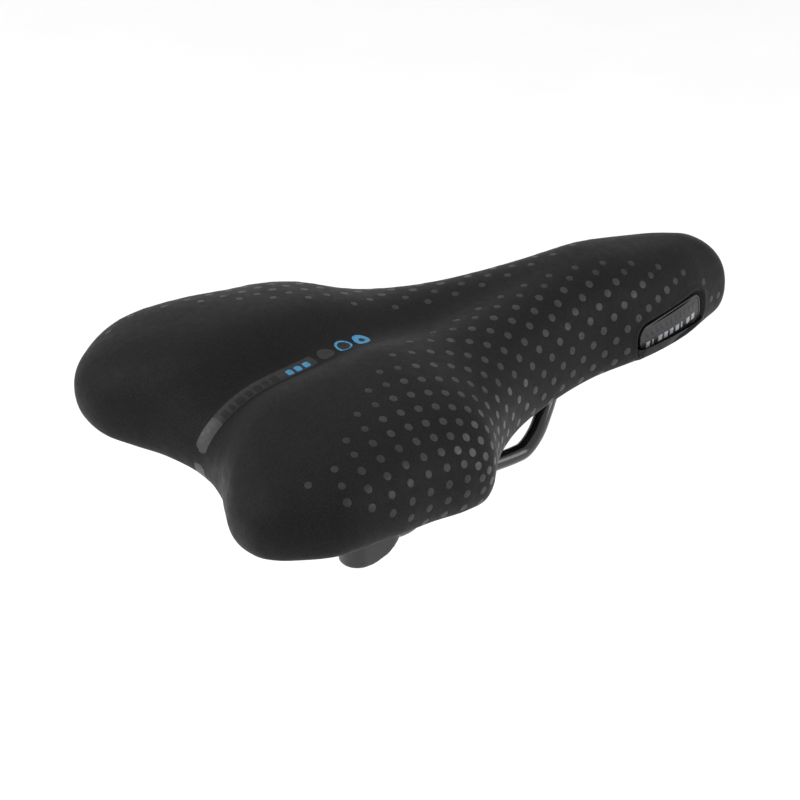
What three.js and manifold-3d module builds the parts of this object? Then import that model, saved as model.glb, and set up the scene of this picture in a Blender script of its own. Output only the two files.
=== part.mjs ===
// Trekking bicycle saddle: padded cover on a plastic shell, a one-piece 7 mm rail,
// a rubber-bushed pivot under the nose and two elastomer springs at the back.
// Millimetres. +Z up, nose towards -Y, +X is the rider's left.
// The origin is midway between the rails, at the middle of the straight where a seat post clamps.
import * as THREE from 'three';
import * as BufferGeometryUtils from 'three/addons/utils/BufferGeometryUtils.js';
import Module from 'manifold-3d';

const wasm = await Module();
wasm.setup();
const { Manifold, Mesh: ManifoldMesh } = wasm;

// ---------- driving dimensions ----------
// v is the distance ahead of the rearmost edge; h is the height above the rear ends of the rail.
// The clamp straight is RAIL_LEVEL higher; every part is lowered by that much when it is added.
const CLAMP_V = 132;
const GAP = 0.3;

// Half outline of the cover seen from above, from the tail notch to the nose tip: [x, v].
const RIM = [
  [0, 17.5], [20, 13.5], [34, 7], [46, 1.5], [57, 0], [67, 2], [76.5, 10], [85.5, 26],
  [85.5, 49], [82, 70], [80.5, 86], [76.5, 99], [62, 112], [49, 127], [39.5, 143], [33, 162],
  [28, 186], [27, 212], [22.5, 237], [15, 256], [9, 268], [0, 271.5],
];
const SPINE_START = 49.5;
const SPINE_END = 246.5;
// Profiles along the rim, 0 at the tail notch and 1 at the nose tip.
const RIM_HEIGHT = [[0, 37], [0.12, 41.5], [0.3, 46.5], [0.45, 43.5], [0.6, 41], [0.8, 43], [1, 42]];
const ROUNDNESS = [[0, 1.7], [0.15, 2.6], [0.3, 2.9], [0.5, 2.5], [0.7, 2.6], [1, 2.2]];
const SKIRT_DROP = [[0, 7.5], [0.15, 11.5], [0.3, 11.5], [0.45, 13.5], [0.7, 11.5], [1, 11.5]];
const SKIRT_TUCK = [[0, 4.5], [0.3, 5.7], [0.6, 4.5], [1, 5]];
const HEM_WIDTH = [[0, 8], [0.45, 8], [0.6, 5], [1, 4.5]];
// Profiles along the length, by v.
const CROWN = [[0, 72], [40, 76], [80, 76.5], [120, 71], [160, 72], [200, 73.5], [235, 69.5], [271, 64]];
const CHANNEL_DEPTH = [[0, 17], [60, 13], [90, 8.5], [130, 4.5], [180, 0.5], [210, 0], [271, 0]];
const CHANNEL_WIDTH = [[0, 17], [60, 15], [120, 13], [190, 10], [271, 10]];
const CROWN_POWER = 2.2;

const SKIN = 1.3;
const SHELL_INSET = [[0, 9], [0.5, 9], [0.7, 7.5], [1, 7.5]];
const SHELL_CROWN = [[0, 43], [40, 49], [80, 53], [120, 53], [160, 51], [200, 51], [235, 49], [271, 45]];
const SHELL_CHANNEL = [[0, 7], [60, 5], [90, 2], [130, 0], [271, 0]];
const SHELL_WALL = 3;
const SHELL_LIP = 3.5;
const RIB_THICK = 2.5;
const RIB_BOTTOM = 39;
const CROSS_RIBS = [54, 98, 126, 154, 184];
const LONG_RIB_X = 15;

const GEL_STATIONS = [4, 12];
const GEL_ROWS = [2, 6];
const GEL_DEPTH = 6;

const BADGE_LENGTH = 38;
const BADGE_HEIGHT = 13.2;
const BADGE_CORNER = 4.6;
const BADGE_TILT = 0.08;
const BADGE_V = 228;
const BADGE_H = 42.4;
const BADGE_SUNK = 0.9;
const BADGE_THICK = 2.2;

const RAIL_RADIUS = 3.5;
const RAIL_HALF = 22;
const RAIL_LEVEL = 7;
const LOOP_HALF = 4;
const LOOP_BEND = 7;
const PIVOT_V = 222;
const PIVOT_H = 36;
const BUSH_RADIUS = 5.5;
const SOCKET_HALF = 5.5;
const SOCKET_REACH = 16.5;
const CAP_BOTTOM = 27;
const NOSE_SCREW_REACH = 11.5;

// Each carrier is a slim block round the rail end, with the spring bolt behind the rail.
const CARRIER_WIDTH = 14.6;
const CARRIER_REAR = 60.5;
const CARRIER_FRONT = 86.5;
const CARRIER_CORNER = 7;
const CARRIER_TOP = 7;
const CARRIER_BOTTOM = -7.5;
// The underside rises towards the front in two steps: [v, h] where each starts, and its slope.
const UNDERSIDE = [[70, CARRIER_BOTTOM, 0.36], [77.5, -4.7, 0.68]];
const RAIL_END_X = 31.5;
const RAIL_END_V = 75.3;
const BOLT_V = 67.8;
const BOLT_RADIUS = 2.5;
const BOLT_HOLE = 3.9;
const SHOULDER_H = -1.5;
const COUNTERBORE = 5.7;
const BOSS_RADIUS = 9.5;
const BOSS_BOTTOM = 21;
const INSERT_LENGTH = 11;
const INSERT_RADIUS = 4.2;
const SPRING_RADIUS = 9;

// Grid density of the saddle top: stations along half the rim, rows from the spine to the rim.
const STATIONS = 30;
const ROWS = 8;
const SHELL_ROW_STEP = 2;
const NOSE_CROWDING = 0.55;
const NOSE_CROWDING_REACH = 0.1;
const WALL_ANGLES = [30, 60, 90];

const COLORS = {
  cover: 0x17171a, foam: 0xd8cfae, gel: 0x7fb6d6, shell: 0x141416, steel: 0x0c0c0e,
  zinc: 0x9a9da2, brass: 0xb08d4a, rubber: 0x1b1b1b, badge: 0x3a3c40,
};

// ---------- small helpers ----------
const yOf = (v) => CLAMP_V - v;

// Smooth monotone curve through [position, value] knots.
function profile(knots) {
  const xs = knots.map((k) => k[0]);
  const ys = knots.map((k) => k[1]);
  const last = xs.length - 1;
  const steps = xs.slice(1).map((x, i) => x - xs[i]);
  const slopes = steps.map((h, i) => (ys[i + 1] - ys[i]) / h);
  const tangents = xs.map((x, i) => {
    if (i === 0) return slopes[0];
    if (i === last) return slopes[last - 1];
    if (slopes[i - 1] * slopes[i] <= 0) return 0;
    const w1 = 2 * steps[i] + steps[i - 1];
    const w2 = steps[i] + 2 * steps[i - 1];
    return (w1 + w2) / (w1 / slopes[i - 1] + w2 / slopes[i]);
  });
  return (value) => {
    const x = Math.min(Math.max(value, xs[0]), xs[last]);
    let i = 0;
    while (i < last - 1 && x > xs[i + 1]) i += 1;
    const h = steps[i];
    const u = (x - xs[i]) / h;
    const u2 = u * u;
    const u3 = u2 * u;
    const start = (2 * u3 - 3 * u2 + 1) * ys[i] + (u3 - 2 * u2 + u) * h * tangents[i];
    const end = (3 * u2 - 2 * u3) * ys[i + 1] + (u3 - u2) * h * tangents[i + 1];
    return start + end;
  };
}

const smoothstep = (x) => {
  const u = Math.min(Math.max(x, 0), 1);
  return u * u * (3 - 2 * u);
};

function toManifold(geometry) {
  const bare = new THREE.BufferGeometry();
  bare.setAttribute('position', geometry.getAttribute('position').clone());
  if (geometry.index) bare.setIndex(geometry.index.clone());
  const welded = BufferGeometryUtils.mergeVertices(bare, 1e-4);
  const index = Array.from(welded.index.array);
  const tris = [];
  for (let i = 0; i < index.length; i += 3) {
    const [a, b, c] = [index[i], index[i + 1], index[i + 2]];
    if (a !== b && b !== c && c !== a) tris.push(a, b, c);
  }
  const mesh = new ManifoldMesh({
    numProp: 3,
    vertProperties: new Float32Array(welded.getAttribute('position').array),
    triVerts: new Uint32Array(tris),
  });
  mesh.merge();
  return new Manifold(mesh);
}

function toGeometry(solid) {
  const mesh = solid.getMesh();
  const geometry = new THREE.BufferGeometry();
  geometry.setAttribute('position', new THREE.BufferAttribute(new Float32Array(mesh.vertProperties), 3));
  geometry.setIndex(new THREE.BufferAttribute(new Uint32Array(mesh.triVerts), 1));
  geometry.computeVertexNormals();
  return geometry;
}

function box(x0, x1, v0, v1, h0, h1) {
  const geometry = new THREE.BoxGeometry(x1 - x0, v1 - v0, h1 - h0);
  geometry.translate((x0 + x1) / 2, yOf((v0 + v1) / 2), (h0 + h1) / 2);
  return toManifold(geometry);
}

function uprightCylinder(radius, x, v, h0, h1, sides = 24) {
  const geometry = new THREE.CylinderGeometry(radius, radius, h1 - h0, sides);
  geometry.rotateX(Math.PI / 2);
  geometry.translate(x, yOf(v), (h0 + h1) / 2);
  return toManifold(geometry);
}

function crossCylinder(radius, x0, x1, v, h, sides = 24) {
  const geometry = new THREE.CylinderGeometry(radius, radius, x1 - x0, sides);
  geometry.rotateZ(Math.PI / 2);
  geometry.translate((x0 + x1) / 2, yOf(v), h);
  return toManifold(geometry);
}

function roundedRectangle(width, height, corner) {
  const shape = new THREE.Shape();
  const w = width / 2 - corner;
  const h = height / 2 - corner;
  shape.absarc(w, h, corner, 0, Math.PI / 2);
  shape.absarc(-w, h, corner, Math.PI / 2, Math.PI);
  shape.absarc(-w, -h, corner, Math.PI, 1.5 * Math.PI);
  shape.absarc(w, -h, corner, 1.5 * Math.PI, 2 * Math.PI);
  return shape;
}

// ---------- the saddle top as a grid of stations and rows ----------
// Stations are even along the rim, and closer together round the nose tip.
function stationShare(i, count) {
  const rest = 1 - i / count;
  return 1 - rest * (1 - NOSE_CROWDING * Math.exp(-rest / NOSE_CROWDING_REACH));
}

function rimPoints(count) {
  const first = [-RIM[1][0], RIM[1][1]];
  const last = [-RIM[RIM.length - 2][0], RIM[RIM.length - 2][1]];
  const all = [first, ...RIM, last];
  const dense = [];
  for (let i = 1; i < all.length - 2; i += 1) {
    for (let k = 0; k < 24; k += 1) {
      const u = k / 24;
      const mix = [0, 1].map((axis) => {
        const [p0, p1, p2, p3] = [all[i - 1], all[i], all[i + 1], all[i + 2]].map((p) => p[axis]);
        const square = (2 * p0 - 5 * p1 + 4 * p2 - p3) * u * u;
        const cube = (-p0 + 3 * p1 - 3 * p2 + p3) * u * u * u;
        return 0.5 * (2 * p1 + (p2 - p0) * u + square + cube);
      });
      dense.push(mix);
    }
  }
  dense.push(RIM[RIM.length - 1]);
  const lengths = [0];
  for (let i = 1; i < dense.length; i += 1) {
    lengths.push(lengths[i - 1] + Math.hypot(dense[i][0] - dense[i - 1][0], dense[i][1] - dense[i - 1][1]));
  }
  const total = lengths[lengths.length - 1];
  const points = [];
  let j = 0;
  for (let i = 0; i <= count; i += 1) {
    const target = total * stationShare(i, count);
    while (j < lengths.length - 2 && lengths[j + 1] < target) j += 1;
    const u = (target - lengths[j]) / (lengths[j + 1] - lengths[j]);
    points.push([0, 1].map((axis) => dense[j][axis] + (dense[j + 1][axis] - dense[j][axis]) * u));
  }
  points[0][0] = 0;
  points[count][0] = 0;
  return points;
}

const rim = rimPoints(STATIONS);
const rimNormals = rim.map((p, i) => {
  if (i === 0) return [0, -1];
  if (i === STATIONS) return [0, 1];
  const dx = rim[i + 1][0] - rim[i - 1][0];
  const dv = rim[i + 1][1] - rim[i - 1][1];
  const length = Math.hypot(dx, dv);
  return [dv / length, -dx / length];
});
const share = rim.map((p, i) => stationShare(i, STATIONS));

const softCap = (v) => {
  const knee = SPINE_END - 10;
  return v < knee ? v : knee + 10 * (1 - Math.exp(-(v - knee) / 10));
};
const spine = rim.map((p, i) => {
  const s = share[i];
  const w = smoothstep((s - 0.2) / 0.4);
  const slow = SPINE_START + 0.62 * (SPINE_END - SPINE_START) * s;
  return Math.max((1 - w) * slow + w * softCap(p[1]), SPINE_START + 0.5 * i);
});

const rimHeight = profile(RIM_HEIGHT);
const roundness = profile(ROUNDNESS);
const skirtDrop = profile(SKIRT_DROP);
const skirtTuck = profile(SKIRT_TUCK);
const hemWidth = profile(HEM_WIDTH);
const crown = profile(CROWN);
const channelDepth = profile(CHANNEL_DEPTH);
const channelWidth = profile(CHANNEL_WIDTH);
const shellInset = profile(SHELL_INSET);
const shellCrown = profile(SHELL_CROWN);
const shellChannel = profile(SHELL_CHANNEL);

const lipHeight = (s) => rimHeight(s) - skirtDrop(s);
const channel = (depth, x, v) => depth(v) * Math.exp(-((x / channelWidth(v)) ** 2));

// One station's rows from the spine to the given edge point.
function domeRows(i, edge, edgeHeight, crownAt, depth) {
  const s = share[i];
  const rows = [];
  for (let j = 0; j <= ROWS; j += 1) {
    const a = (Math.PI / 2) * (j / ROWS);
    const t = Math.sin(a) ** (2 / roundness(s));
    const roll = j === ROWS ? 0 : Math.cos(a) ** (2 / CROWN_POWER);
    const x = edge[0] * t;
    const v = spine[i] + (edge[1] - spine[i]) * t;
    const h = edgeHeight + (crownAt(v) - channel(depth, x, v) - edgeHeight) * roll;
    rows.push([x, v, h]);
  }
  return rows;
}

const insetPoint = (i, distance) => [
  i === 0 || i === STATIONS ? 0 : Math.max(rim[i][0] - rimNormals[i][0] * distance, 0.02 * i),
  rim[i][1] - rimNormals[i][1] * distance,
];

// A sheet is a list of stations; each station is a list of [x, v, h] rows that starts on the spine.
function outerSheet() {
  return rim.map((p, i) => {
    const s = share[i];
    const rows = domeRows(i, p, rimHeight(s), crown, channelDepth);
    for (const angle of WALL_ANGLES) {
      const b = (angle * Math.PI) / 180;
      const [x, v] = insetPoint(i, skirtTuck(s) * (1 - Math.cos(b)));
      rows.push([x, v, rimHeight(s) - skirtDrop(s) * Math.sin(b)]);
    }
    return rows;
  });
}

function shellSheet(extraInset, lowered, lip) {
  return rim.map((p, i) => {
    const s = share[i];
    const edge = insetPoint(i, shellInset(s) + extraInset);
    const bottom = lipHeight(s) + SKIN + 2 * GAP;
    const top = bottom + SHELL_LIP;
    const rows = domeRows(i, edge, top, shellCrown, shellChannel);
    const kept = rows.filter((row, j) => j % SHELL_ROW_STEP === 0);
    for (const row of kept) row[2] -= lowered;
    kept.push([edge[0], edge[1], bottom + lip]);
    return kept;
  });
}

// Both halves of a sheet as triangles, x mirrored for the second half.
function sheetTriangles(sheet, flip) {
  const count = sheet.length - 1;
  const ring = 2 * count;
  const at = (m, j) => {
    const k = m % ring;
    const i = k <= count ? k : ring - k;
    const [x, v, h] = sheet[i][j];
    return [k <= count ? x : -x, yOf(v), h];
  };
  const triangles = [];
  for (let m = 0; m < ring; m += 1) {
    for (let j = 0; j < sheet[0].length - 1; j += 1) {
      const [a, b, c, d] = [at(m, j), at(m + 1, j), at(m + 1, j + 1), at(m, j + 1)];
      if (flip) triangles.push([a, c, b], [a, d, c]);
      else triangles.push([a, b, c], [a, c, d]);
    }
  }
  return triangles;
}

// A closed solid between an upper sheet and a lower sheet that end on joined edges.
function sheetSolid(upper, lower) {
  const bridge = upper.map((rows, i) => [rows[rows.length - 1], lower[i][lower[i].length - 1]]);
  const triangles = [
    ...sheetTriangles(upper, false),
    ...sheetTriangles(bridge, false),
    ...sheetTriangles(lower, true),
  ];
  const positions = new Float32Array(triangles.flat(2));
  const geometry = new THREE.BufferGeometry();
  geometry.setAttribute('position', new THREE.BufferAttribute(positions, 3));
  return toManifold(geometry);
}

// The sheet moved along its own surface normals; a positive distance goes inwards.
function insetSheet(sheet, distance) {
  const count = sheet.length - 1;
  const rowCount = sheet[0].length;
  const sample = (i, j) => {
    if (j < 0) {
      const [x, v, h] = sheet[i][-j];
      return [-x, v, h];
    }
    if (i < 0 || i > count) {
      const k = i < 0 ? -i : 2 * count - i;
      const [x, v, h] = sheet[k][j];
      return [-x, v, h];
    }
    return sheet[i][Math.min(j, rowCount - 1)];
  };
  return sheet.map((rows, i) => rows.map((point, j) => {
    const along = new THREE.Vector3(...sample(i + 1, j)).sub(new THREE.Vector3(...sample(i - 1, j)));
    const across = new THREE.Vector3(...sample(i, j + 1)).sub(new THREE.Vector3(...sample(i, j - 1)));
    if (j === 0) {
      const before = sample(Math.max(i - 1, 0), 0);
      const after = sample(Math.min(i + 1, count), 0);
      along.set(0, after[1] - before[1], after[2] - before[2]);
      across.set(1, 0, 0);
    }
    const normal = along.cross(across).normalize();
    if (j < rowCount - 1 && normal.z < -0.2) normal.negate();
    if (j === rowCount - 1) normal.set(0, 0, -1);
    else if (j >= ROWS && normal.x * rimNormals[i][0] + normal.y * rimNormals[i][1] < 0) normal.negate();
    else if (j < ROWS && normal.z < 0) normal.negate();
    if (i === 0 || i === count) normal.x = 0;
    normal.normalize();
    return [
      point[0] - normal.x * distance,
      point[1] - normal.y * distance,
      point[2] - normal.z * distance,
    ];
  }));
}

const flatSheet = (sheet, height) => sheet.map((rows) => rows.map(([x, v]) => [x, v, height]));

const outer = outerSheet();
const lastRow = outer[0].length - 1;

function coverSolid() {
  const addHem = (sheet, rise) => sheet.map((rows, i) => {
    const s = share[i];
    const [x, v] = insetPoint(i, skirtTuck(s) + hemWidth(s));
    return [...rows, [x, v, lipHeight(s) + rise]];
  });
  return sheetSolid(addHem(outer, 0), addHem(insetSheet(outer, SKIN), SKIN));
}

const shellTop = shellSheet(0, 0, 0);
const shellUnder = shellSheet(SHELL_WALL, SHELL_WALL, 0);

function foamSolid() {
  const upper = insetSheet(outer, SKIN + GAP).map((rows) => rows.slice(0, lastRow));
  const lower = shellSheet(-GAP, -GAP, GAP);
  return sheetSolid(upper, lower);
}

// A block of pad between two depths under the cover, on whole grid cells.
function padSolid(side, firstDepth, lastDepth, shrink) {
  const [i0, i1] = GEL_STATIONS;
  const [j0, j1] = GEL_ROWS;
  const patch = (depth) => {
    const sheet = insetSheet(outer, depth);
    const cells = [];
    for (let i = i0; i <= i1; i += 1) {
      const line = [];
      for (let j = j0; j <= j1; j += 1) {
        const iIn = i === i0 ? i + 1 : i === i1 ? i - 1 : i;
        const jIn = j === j0 ? j + 1 : j === j1 ? j - 1 : j;
        const edge = sheet[i][j];
        const inner = sheet[iIn][jIn];
        line.push(edge.map((value, axis) => value + (inner[axis] - value) * shrink));
      }
      cells.push(line);
    }
    return cells;
  };
  const top = patch(firstDepth);
  const bottom = patch(lastDepth);
  const world = ([x, v, h]) => [side * x, yOf(v), h];
  const triangles = [];
  const quad = (a, b, c, d) => {
    const corners = [a, b, c, d].map(world);
    if (side < 0) corners.reverse();
    triangles.push([corners[0], corners[1], corners[2]], [corners[0], corners[2], corners[3]]);
  };
  const n = i1 - i0;
  const k = j1 - j0;
  for (let i = 0; i < n; i += 1) {
    for (let j = 0; j < k; j += 1) {
      quad(top[i][j], top[i + 1][j], top[i + 1][j + 1], top[i][j + 1]);
      quad(bottom[i][j], bottom[i][j + 1], bottom[i + 1][j + 1], bottom[i + 1][j]);
    }
  }
  for (let i = 0; i < n; i += 1) {
    quad(top[i][0], bottom[i][0], bottom[i + 1][0], top[i + 1][0]);
    quad(top[i + 1][k], bottom[i + 1][k], bottom[i][k], top[i][k]);
  }
  for (let j = 0; j < k; j += 1) {
    quad(top[0][j + 1], bottom[0][j + 1], bottom[0][j], top[0][j]);
    quad(top[n][j], bottom[n][j], bottom[n][j + 1], top[n][j + 1]);
  }
  const geometry = new THREE.BufferGeometry();
  geometry.setAttribute('position', new THREE.BufferAttribute(new Float32Array(triangles.flat(2)), 3));
  return toManifold(geometry);
}

// Everything deeper than the given distance under the cover, down to a flat bottom.
function coreSolid(depth) {
  const sheet = insetSheet(outer, depth).map((rows) => rows.slice(0, lastRow));
  const bottom = sheet.map((rows) => rows[rows.length - 1][2]);
  const floor = Math.min(...bottom) - 1;
  return sheetSolid(sheet, flatSheet(sheet, floor));
}

function badgePrism(side, margin) {
  const shape = roundedRectangle(BADGE_LENGTH + 2 * margin, BADGE_HEIGHT + 2 * margin, BADGE_CORNER + margin);
  const geometry = new THREE.ExtrudeGeometry(shape, { depth: 26, bevelEnabled: false, curveSegments: 4 });
  geometry.rotateZ(BADGE_TILT);
  geometry.rotateX(Math.PI / 2);
  geometry.rotateZ(-Math.PI / 2);
  geometry.translate(side > 0 ? 36 : -10, yOf(BADGE_V), BADGE_H);
  return toManifold(geometry);
}

function shellSolid() {
  const skin = sheetSolid(shellTop, shellUnder);
  const fillFloor = BOSS_BOTTOM - 2;
  const deep = shellTop.map((rows) => {
    const edge = rows[rows.length - 1];
    return [...rows, [edge[0], edge[1], fillFloor]];
  });
  const fill = sheetSolid(deep, flatSheet(deep, fillFloor));
  const ribs = CROSS_RIBS.map((v) => box(-90, 90, v - RIB_THICK / 2, v + RIB_THICK / 2, RIB_BOTTOM, 90));
  for (const side of [-1, 1]) {
    const x = side * LONG_RIB_X;
    ribs.push(box(x - RIB_THICK / 2, x + RIB_THICK / 2, CROSS_RIBS[0], CROSS_RIBS[4], RIB_BOTTOM, 90));
  }
  const bosses = [-1, 1].map((side) => (
    uprightCylinder(BOSS_RADIUS, side * RAIL_END_X, BOLT_V, BOSS_BOTTOM, 90)
  ));
  const socket = box(
    -SOCKET_HALF, SOCKET_HALF, PIVOT_V - SOCKET_REACH, PIVOT_V + SOCKET_REACH, PIVOT_H + GAP / 2, 90,
  );
  const added = Manifold.union([...ribs, ...bosses, socket]).intersect(fill);
  const cuts = [crossCylinder(BUSH_RADIUS + GAP, -20, 20, PIVOT_V, PIVOT_H)];
  for (const side of [-1, 1]) {
    const x = side * RAIL_END_X;
    const insertTop = BOSS_BOTTOM + INSERT_LENGTH;
    cuts.push(uprightCylinder(INSERT_RADIUS + GAP, x, BOLT_V, BOSS_BOTTOM - 5, insertTop + GAP));
    cuts.push(uprightCylinder(BOLT_RADIUS + GAP, x, BOLT_V, BOSS_BOTTOM, insertTop + 4));
    cuts.push(uprightCylinder(3.4, 0, PIVOT_V + side * NOSE_SCREW_REACH, PIVOT_H - 3, PIVOT_H + 7.4, 16));
  }
  return skin.add(added).subtract(Manifold.union(cuts));
}

// ---------- hardware ----------
function railSolid() {
  const side = [
    [RAIL_END_X, RAIL_END_V, 0], [RAIL_END_X, 83, 0], [RAIL_END_X, 91, 0.3],
    [29.6, 97.5, 2], [26.2, 103, 4.3], [23, 108.5, 6.4], [RAIL_HALF, 114, RAIL_LEVEL],
    [RAIL_HALF, 131, RAIL_LEVEL], [RAIL_HALF, 150, RAIL_LEVEL], [21.8, 155, 7.8],
    [20.8, 161.5, 13], [18.4, 167.5, 20.6], [15.6, 172.5, 25.6], [13, 179, 28.4],
    [11.4, 190, 31.4], [11, 203, 34.4], [11, 211, 35.8], [11, PIVOT_V - LOOP_BEND, PIVOT_H],
  ];
  const bend = [30, 60, 90].map((angle) => {
    const a = (angle * Math.PI) / 180;
    return [LOOP_HALF + LOOP_BEND * Math.cos(a), PIVOT_V - LOOP_BEND + LOOP_BEND * Math.sin(a), PIVOT_H];
  });
  const half = [...side, ...bend];
  const mirrored = half.map(([x, v, h]) => [-x, v, h]).reverse();
  const points = [...half, ...mirrored].map(([x, v, h]) => new THREE.Vector3(x, yOf(v), h));
  const path = new THREE.CatmullRomCurve3(points, false, 'centripetal');
  const ring = [];
  for (let k = 0; k < 12; k += 1) {
    const a = (2 * Math.PI * k) / 12;
    ring.push(new THREE.Vector2(RAIL_RADIUS * Math.cos(a), RAIL_RADIUS * Math.sin(a)));
  }
  const shape = new THREE.Shape(ring);
  return toManifold(new THREE.ExtrudeGeometry(shape, { steps: 64, extrudePath: path, bevelEnabled: false }));
}

function ringSolid(inner, outerRadius, x, v, h0, h1, sides = 24) {
  const body = uprightCylinder(outerRadius, x, v, h0, h1, sides);
  return body.subtract(uprightCylinder(inner, x, v, h0 - 1, h1 + 1, sides));
}

function bushSolid() {
  const body = crossCylinder(BUSH_RADIUS, -LOOP_HALF, LOOP_HALF, PIVOT_V, PIVOT_H);
  return body.subtract(crossCylinder(RAIL_RADIUS + GAP, -9, 9, PIVOT_V, PIVOT_H));
}

function capSolid() {
  const v0 = PIVOT_V - SOCKET_REACH;
  const v1 = PIVOT_V + SOCKET_REACH;
  let body = box(-SOCKET_HALF, SOCKET_HALF, v0, v1, CAP_BOTTOM, PIVOT_H - GAP / 2);
  body = body.subtract(crossCylinder(BUSH_RADIUS + GAP, -20, 20, PIVOT_V, PIVOT_H));
  for (const end of [-1, 1]) {
    const v = PIVOT_V + end * NOSE_SCREW_REACH;
    body = body.subtract(uprightCylinder(2.2, 0, v, CAP_BOTTOM - 1, PIVOT_H + 1, 16));
    body = body.subtract(uprightCylinder(3.9, 0, v, CAP_BOTTOM - 1, CAP_BOTTOM + 3, 16));
  }
  return body;
}

function screwSolid(x, v, headRadius, headBottom, headTop, shankRadius, shankTop, keyRadius) {
  const head = uprightCylinder(headRadius, x, v, headBottom, headTop, 20);
  const shank = uprightCylinder(shankRadius, x, v, headTop - 0.5, shankTop, 16);
  const key = uprightCylinder(keyRadius, x, v, headBottom - 1, headBottom + (headTop - headBottom) * 0.6, 6);
  return head.add(shank).subtract(key);
}

function carrierSolid(side) {
  const bevel = 1.2;
  const length = CARRIER_FRONT - CARRIER_REAR;
  const shape = roundedRectangle(
    CARRIER_WIDTH - 2 * bevel, length - 2 * bevel, CARRIER_CORNER - bevel,
  );
  const geometry = new THREE.ExtrudeGeometry(shape, {
    depth: CARRIER_TOP - CARRIER_BOTTOM - 2 * bevel,
    bevelSize: bevel, bevelThickness: bevel, bevelSegments: 2, curveSegments: 6,
  });
  const x = side * RAIL_END_X;
  geometry.translate(x, yOf((CARRIER_FRONT + CARRIER_REAR) / 2), CARRIER_BOTTOM + bevel);
  let body = toManifold(geometry);
  for (const [v, h, slope] of UNDERSIDE) {
    const wedge = new THREE.BoxGeometry(40, 60, 20);
    wedge.translate(0, -30, -10);
    wedge.rotateX(-slope);
    wedge.translate(x, yOf(v), h);
    body = body.subtract(toManifold(wedge));
  }
  const bore = new THREE.CylinderGeometry(RAIL_RADIUS + GAP, RAIL_RADIUS + GAP, 60, 20);
  bore.translate(x, yOf(RAIL_END_V - GAP) - 30, 0);
  return body
    .subtract(toManifold(bore))
    .subtract(uprightCylinder(BOLT_HOLE, x, BOLT_V, -40, 20))
    .subtract(uprightCylinder(COUNTERBORE, x, BOLT_V, -40, SHOULDER_H));
}

function elastomerGeometry(side) {
  const low = CARRIER_TOP + GAP;
  const high = BOSS_BOTTOM - GAP;
  const mid = (low + high) / 2;
  const r = SPRING_RADIUS;
  const outline = [
    [BOLT_HOLE, low], [r - 1.4, low], [r - 0.3, low + 1.8], [r, mid - 2.2], [r - 1.4, mid],
    [r, mid + 2.2], [r - 0.3, high - 1.8], [r - 1.4, high], [BOLT_HOLE, high], [BOLT_HOLE, low],
  ];
  const points = outline.map(([radius, h]) => new THREE.Vector2(radius, h));
  const geometry = new THREE.LatheGeometry(points, 24);
  geometry.rotateX(Math.PI / 2);
  geometry.translate(side * RAIL_END_X, yOf(BOLT_V), 0);
  return toManifold(geometry);
}

// ---------- assembly ----------
const saddle = new THREE.Group();
saddle.name = 'bicycle_saddle';

function addPart(name, solid, color, roughness, metalness = 0) {
  const material = new THREE.MeshStandardMaterial({ color, roughness, metalness });
  material.name = name;
  const geometry = toGeometry(solid);
  geometry.translate(0, 0, -RAIL_LEVEL);
  const mesh = new THREE.Mesh(geometry, material);
  mesh.name = name;
  saddle.add(mesh);
}

const badgeCore = coreSolid(BADGE_SUNK);
const badgeBack = coreSolid(BADGE_SUNK + BADGE_THICK);
const pocketCore = coreSolid(BADGE_SUNK + BADGE_THICK + GAP);
let cover = coverSolid();
let foam = foamSolid();
const sides = [[1, 'left'], [-1, 'right']];

for (const [side, label] of sides) {
  const prism = badgePrism(side, 0);
  addPart(`badge_${label}`, prism.intersect(badgeCore).subtract(badgeBack), COLORS.badge, 0.35, 0.3);
  const pocket = badgePrism(side, GAP).subtract(pocketCore);
  cover = cover.subtract(pocket);
  foam = foam.subtract(pocket);
  foam = foam.subtract(padSolid(side, 0.4, SKIN + GAP + GEL_DEPTH + GAP, 0));
  addPart(`gel_pad_${label}`, padSolid(side, SKIN + GAP, SKIN + GAP + GEL_DEPTH, 0.04), COLORS.gel, 0.3);
}

addPart('cover', cover, COLORS.cover, 0.8);
addPart('foam_pad', foam, COLORS.foam, 0.9);
addPart('base_shell', shellSolid(), COLORS.shell, 0.5);
addPart('rail_wire', railSolid(), COLORS.steel, 0.25, 0.6);
addPart('nose_bush', bushSolid(), COLORS.rubber, 0.7);
addPart('nose_cap', capSolid(), COLORS.shell, 0.5);

for (const [end, label] of [[1, 'front'], [-1, 'rear']]) {
  const v = PIVOT_V + end * NOSE_SCREW_REACH;
  const screw = screwSolid(0, v, 3.5, CAP_BOTTOM + 0.4, CAP_BOTTOM + 2.7, 1.9, PIVOT_H + 6.6, 1.7);
  const insert = ringSolid(2.2, 3.1, 0, v, PIVOT_H + 0.4, PIVOT_H + 7.1, 16);
  addPart(`nose_screw_${label}`, screw, COLORS.zinc, 0.35, 0.9);
  addPart(`nose_insert_${label}`, insert, COLORS.brass, 0.35, 0.9);
}

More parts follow.
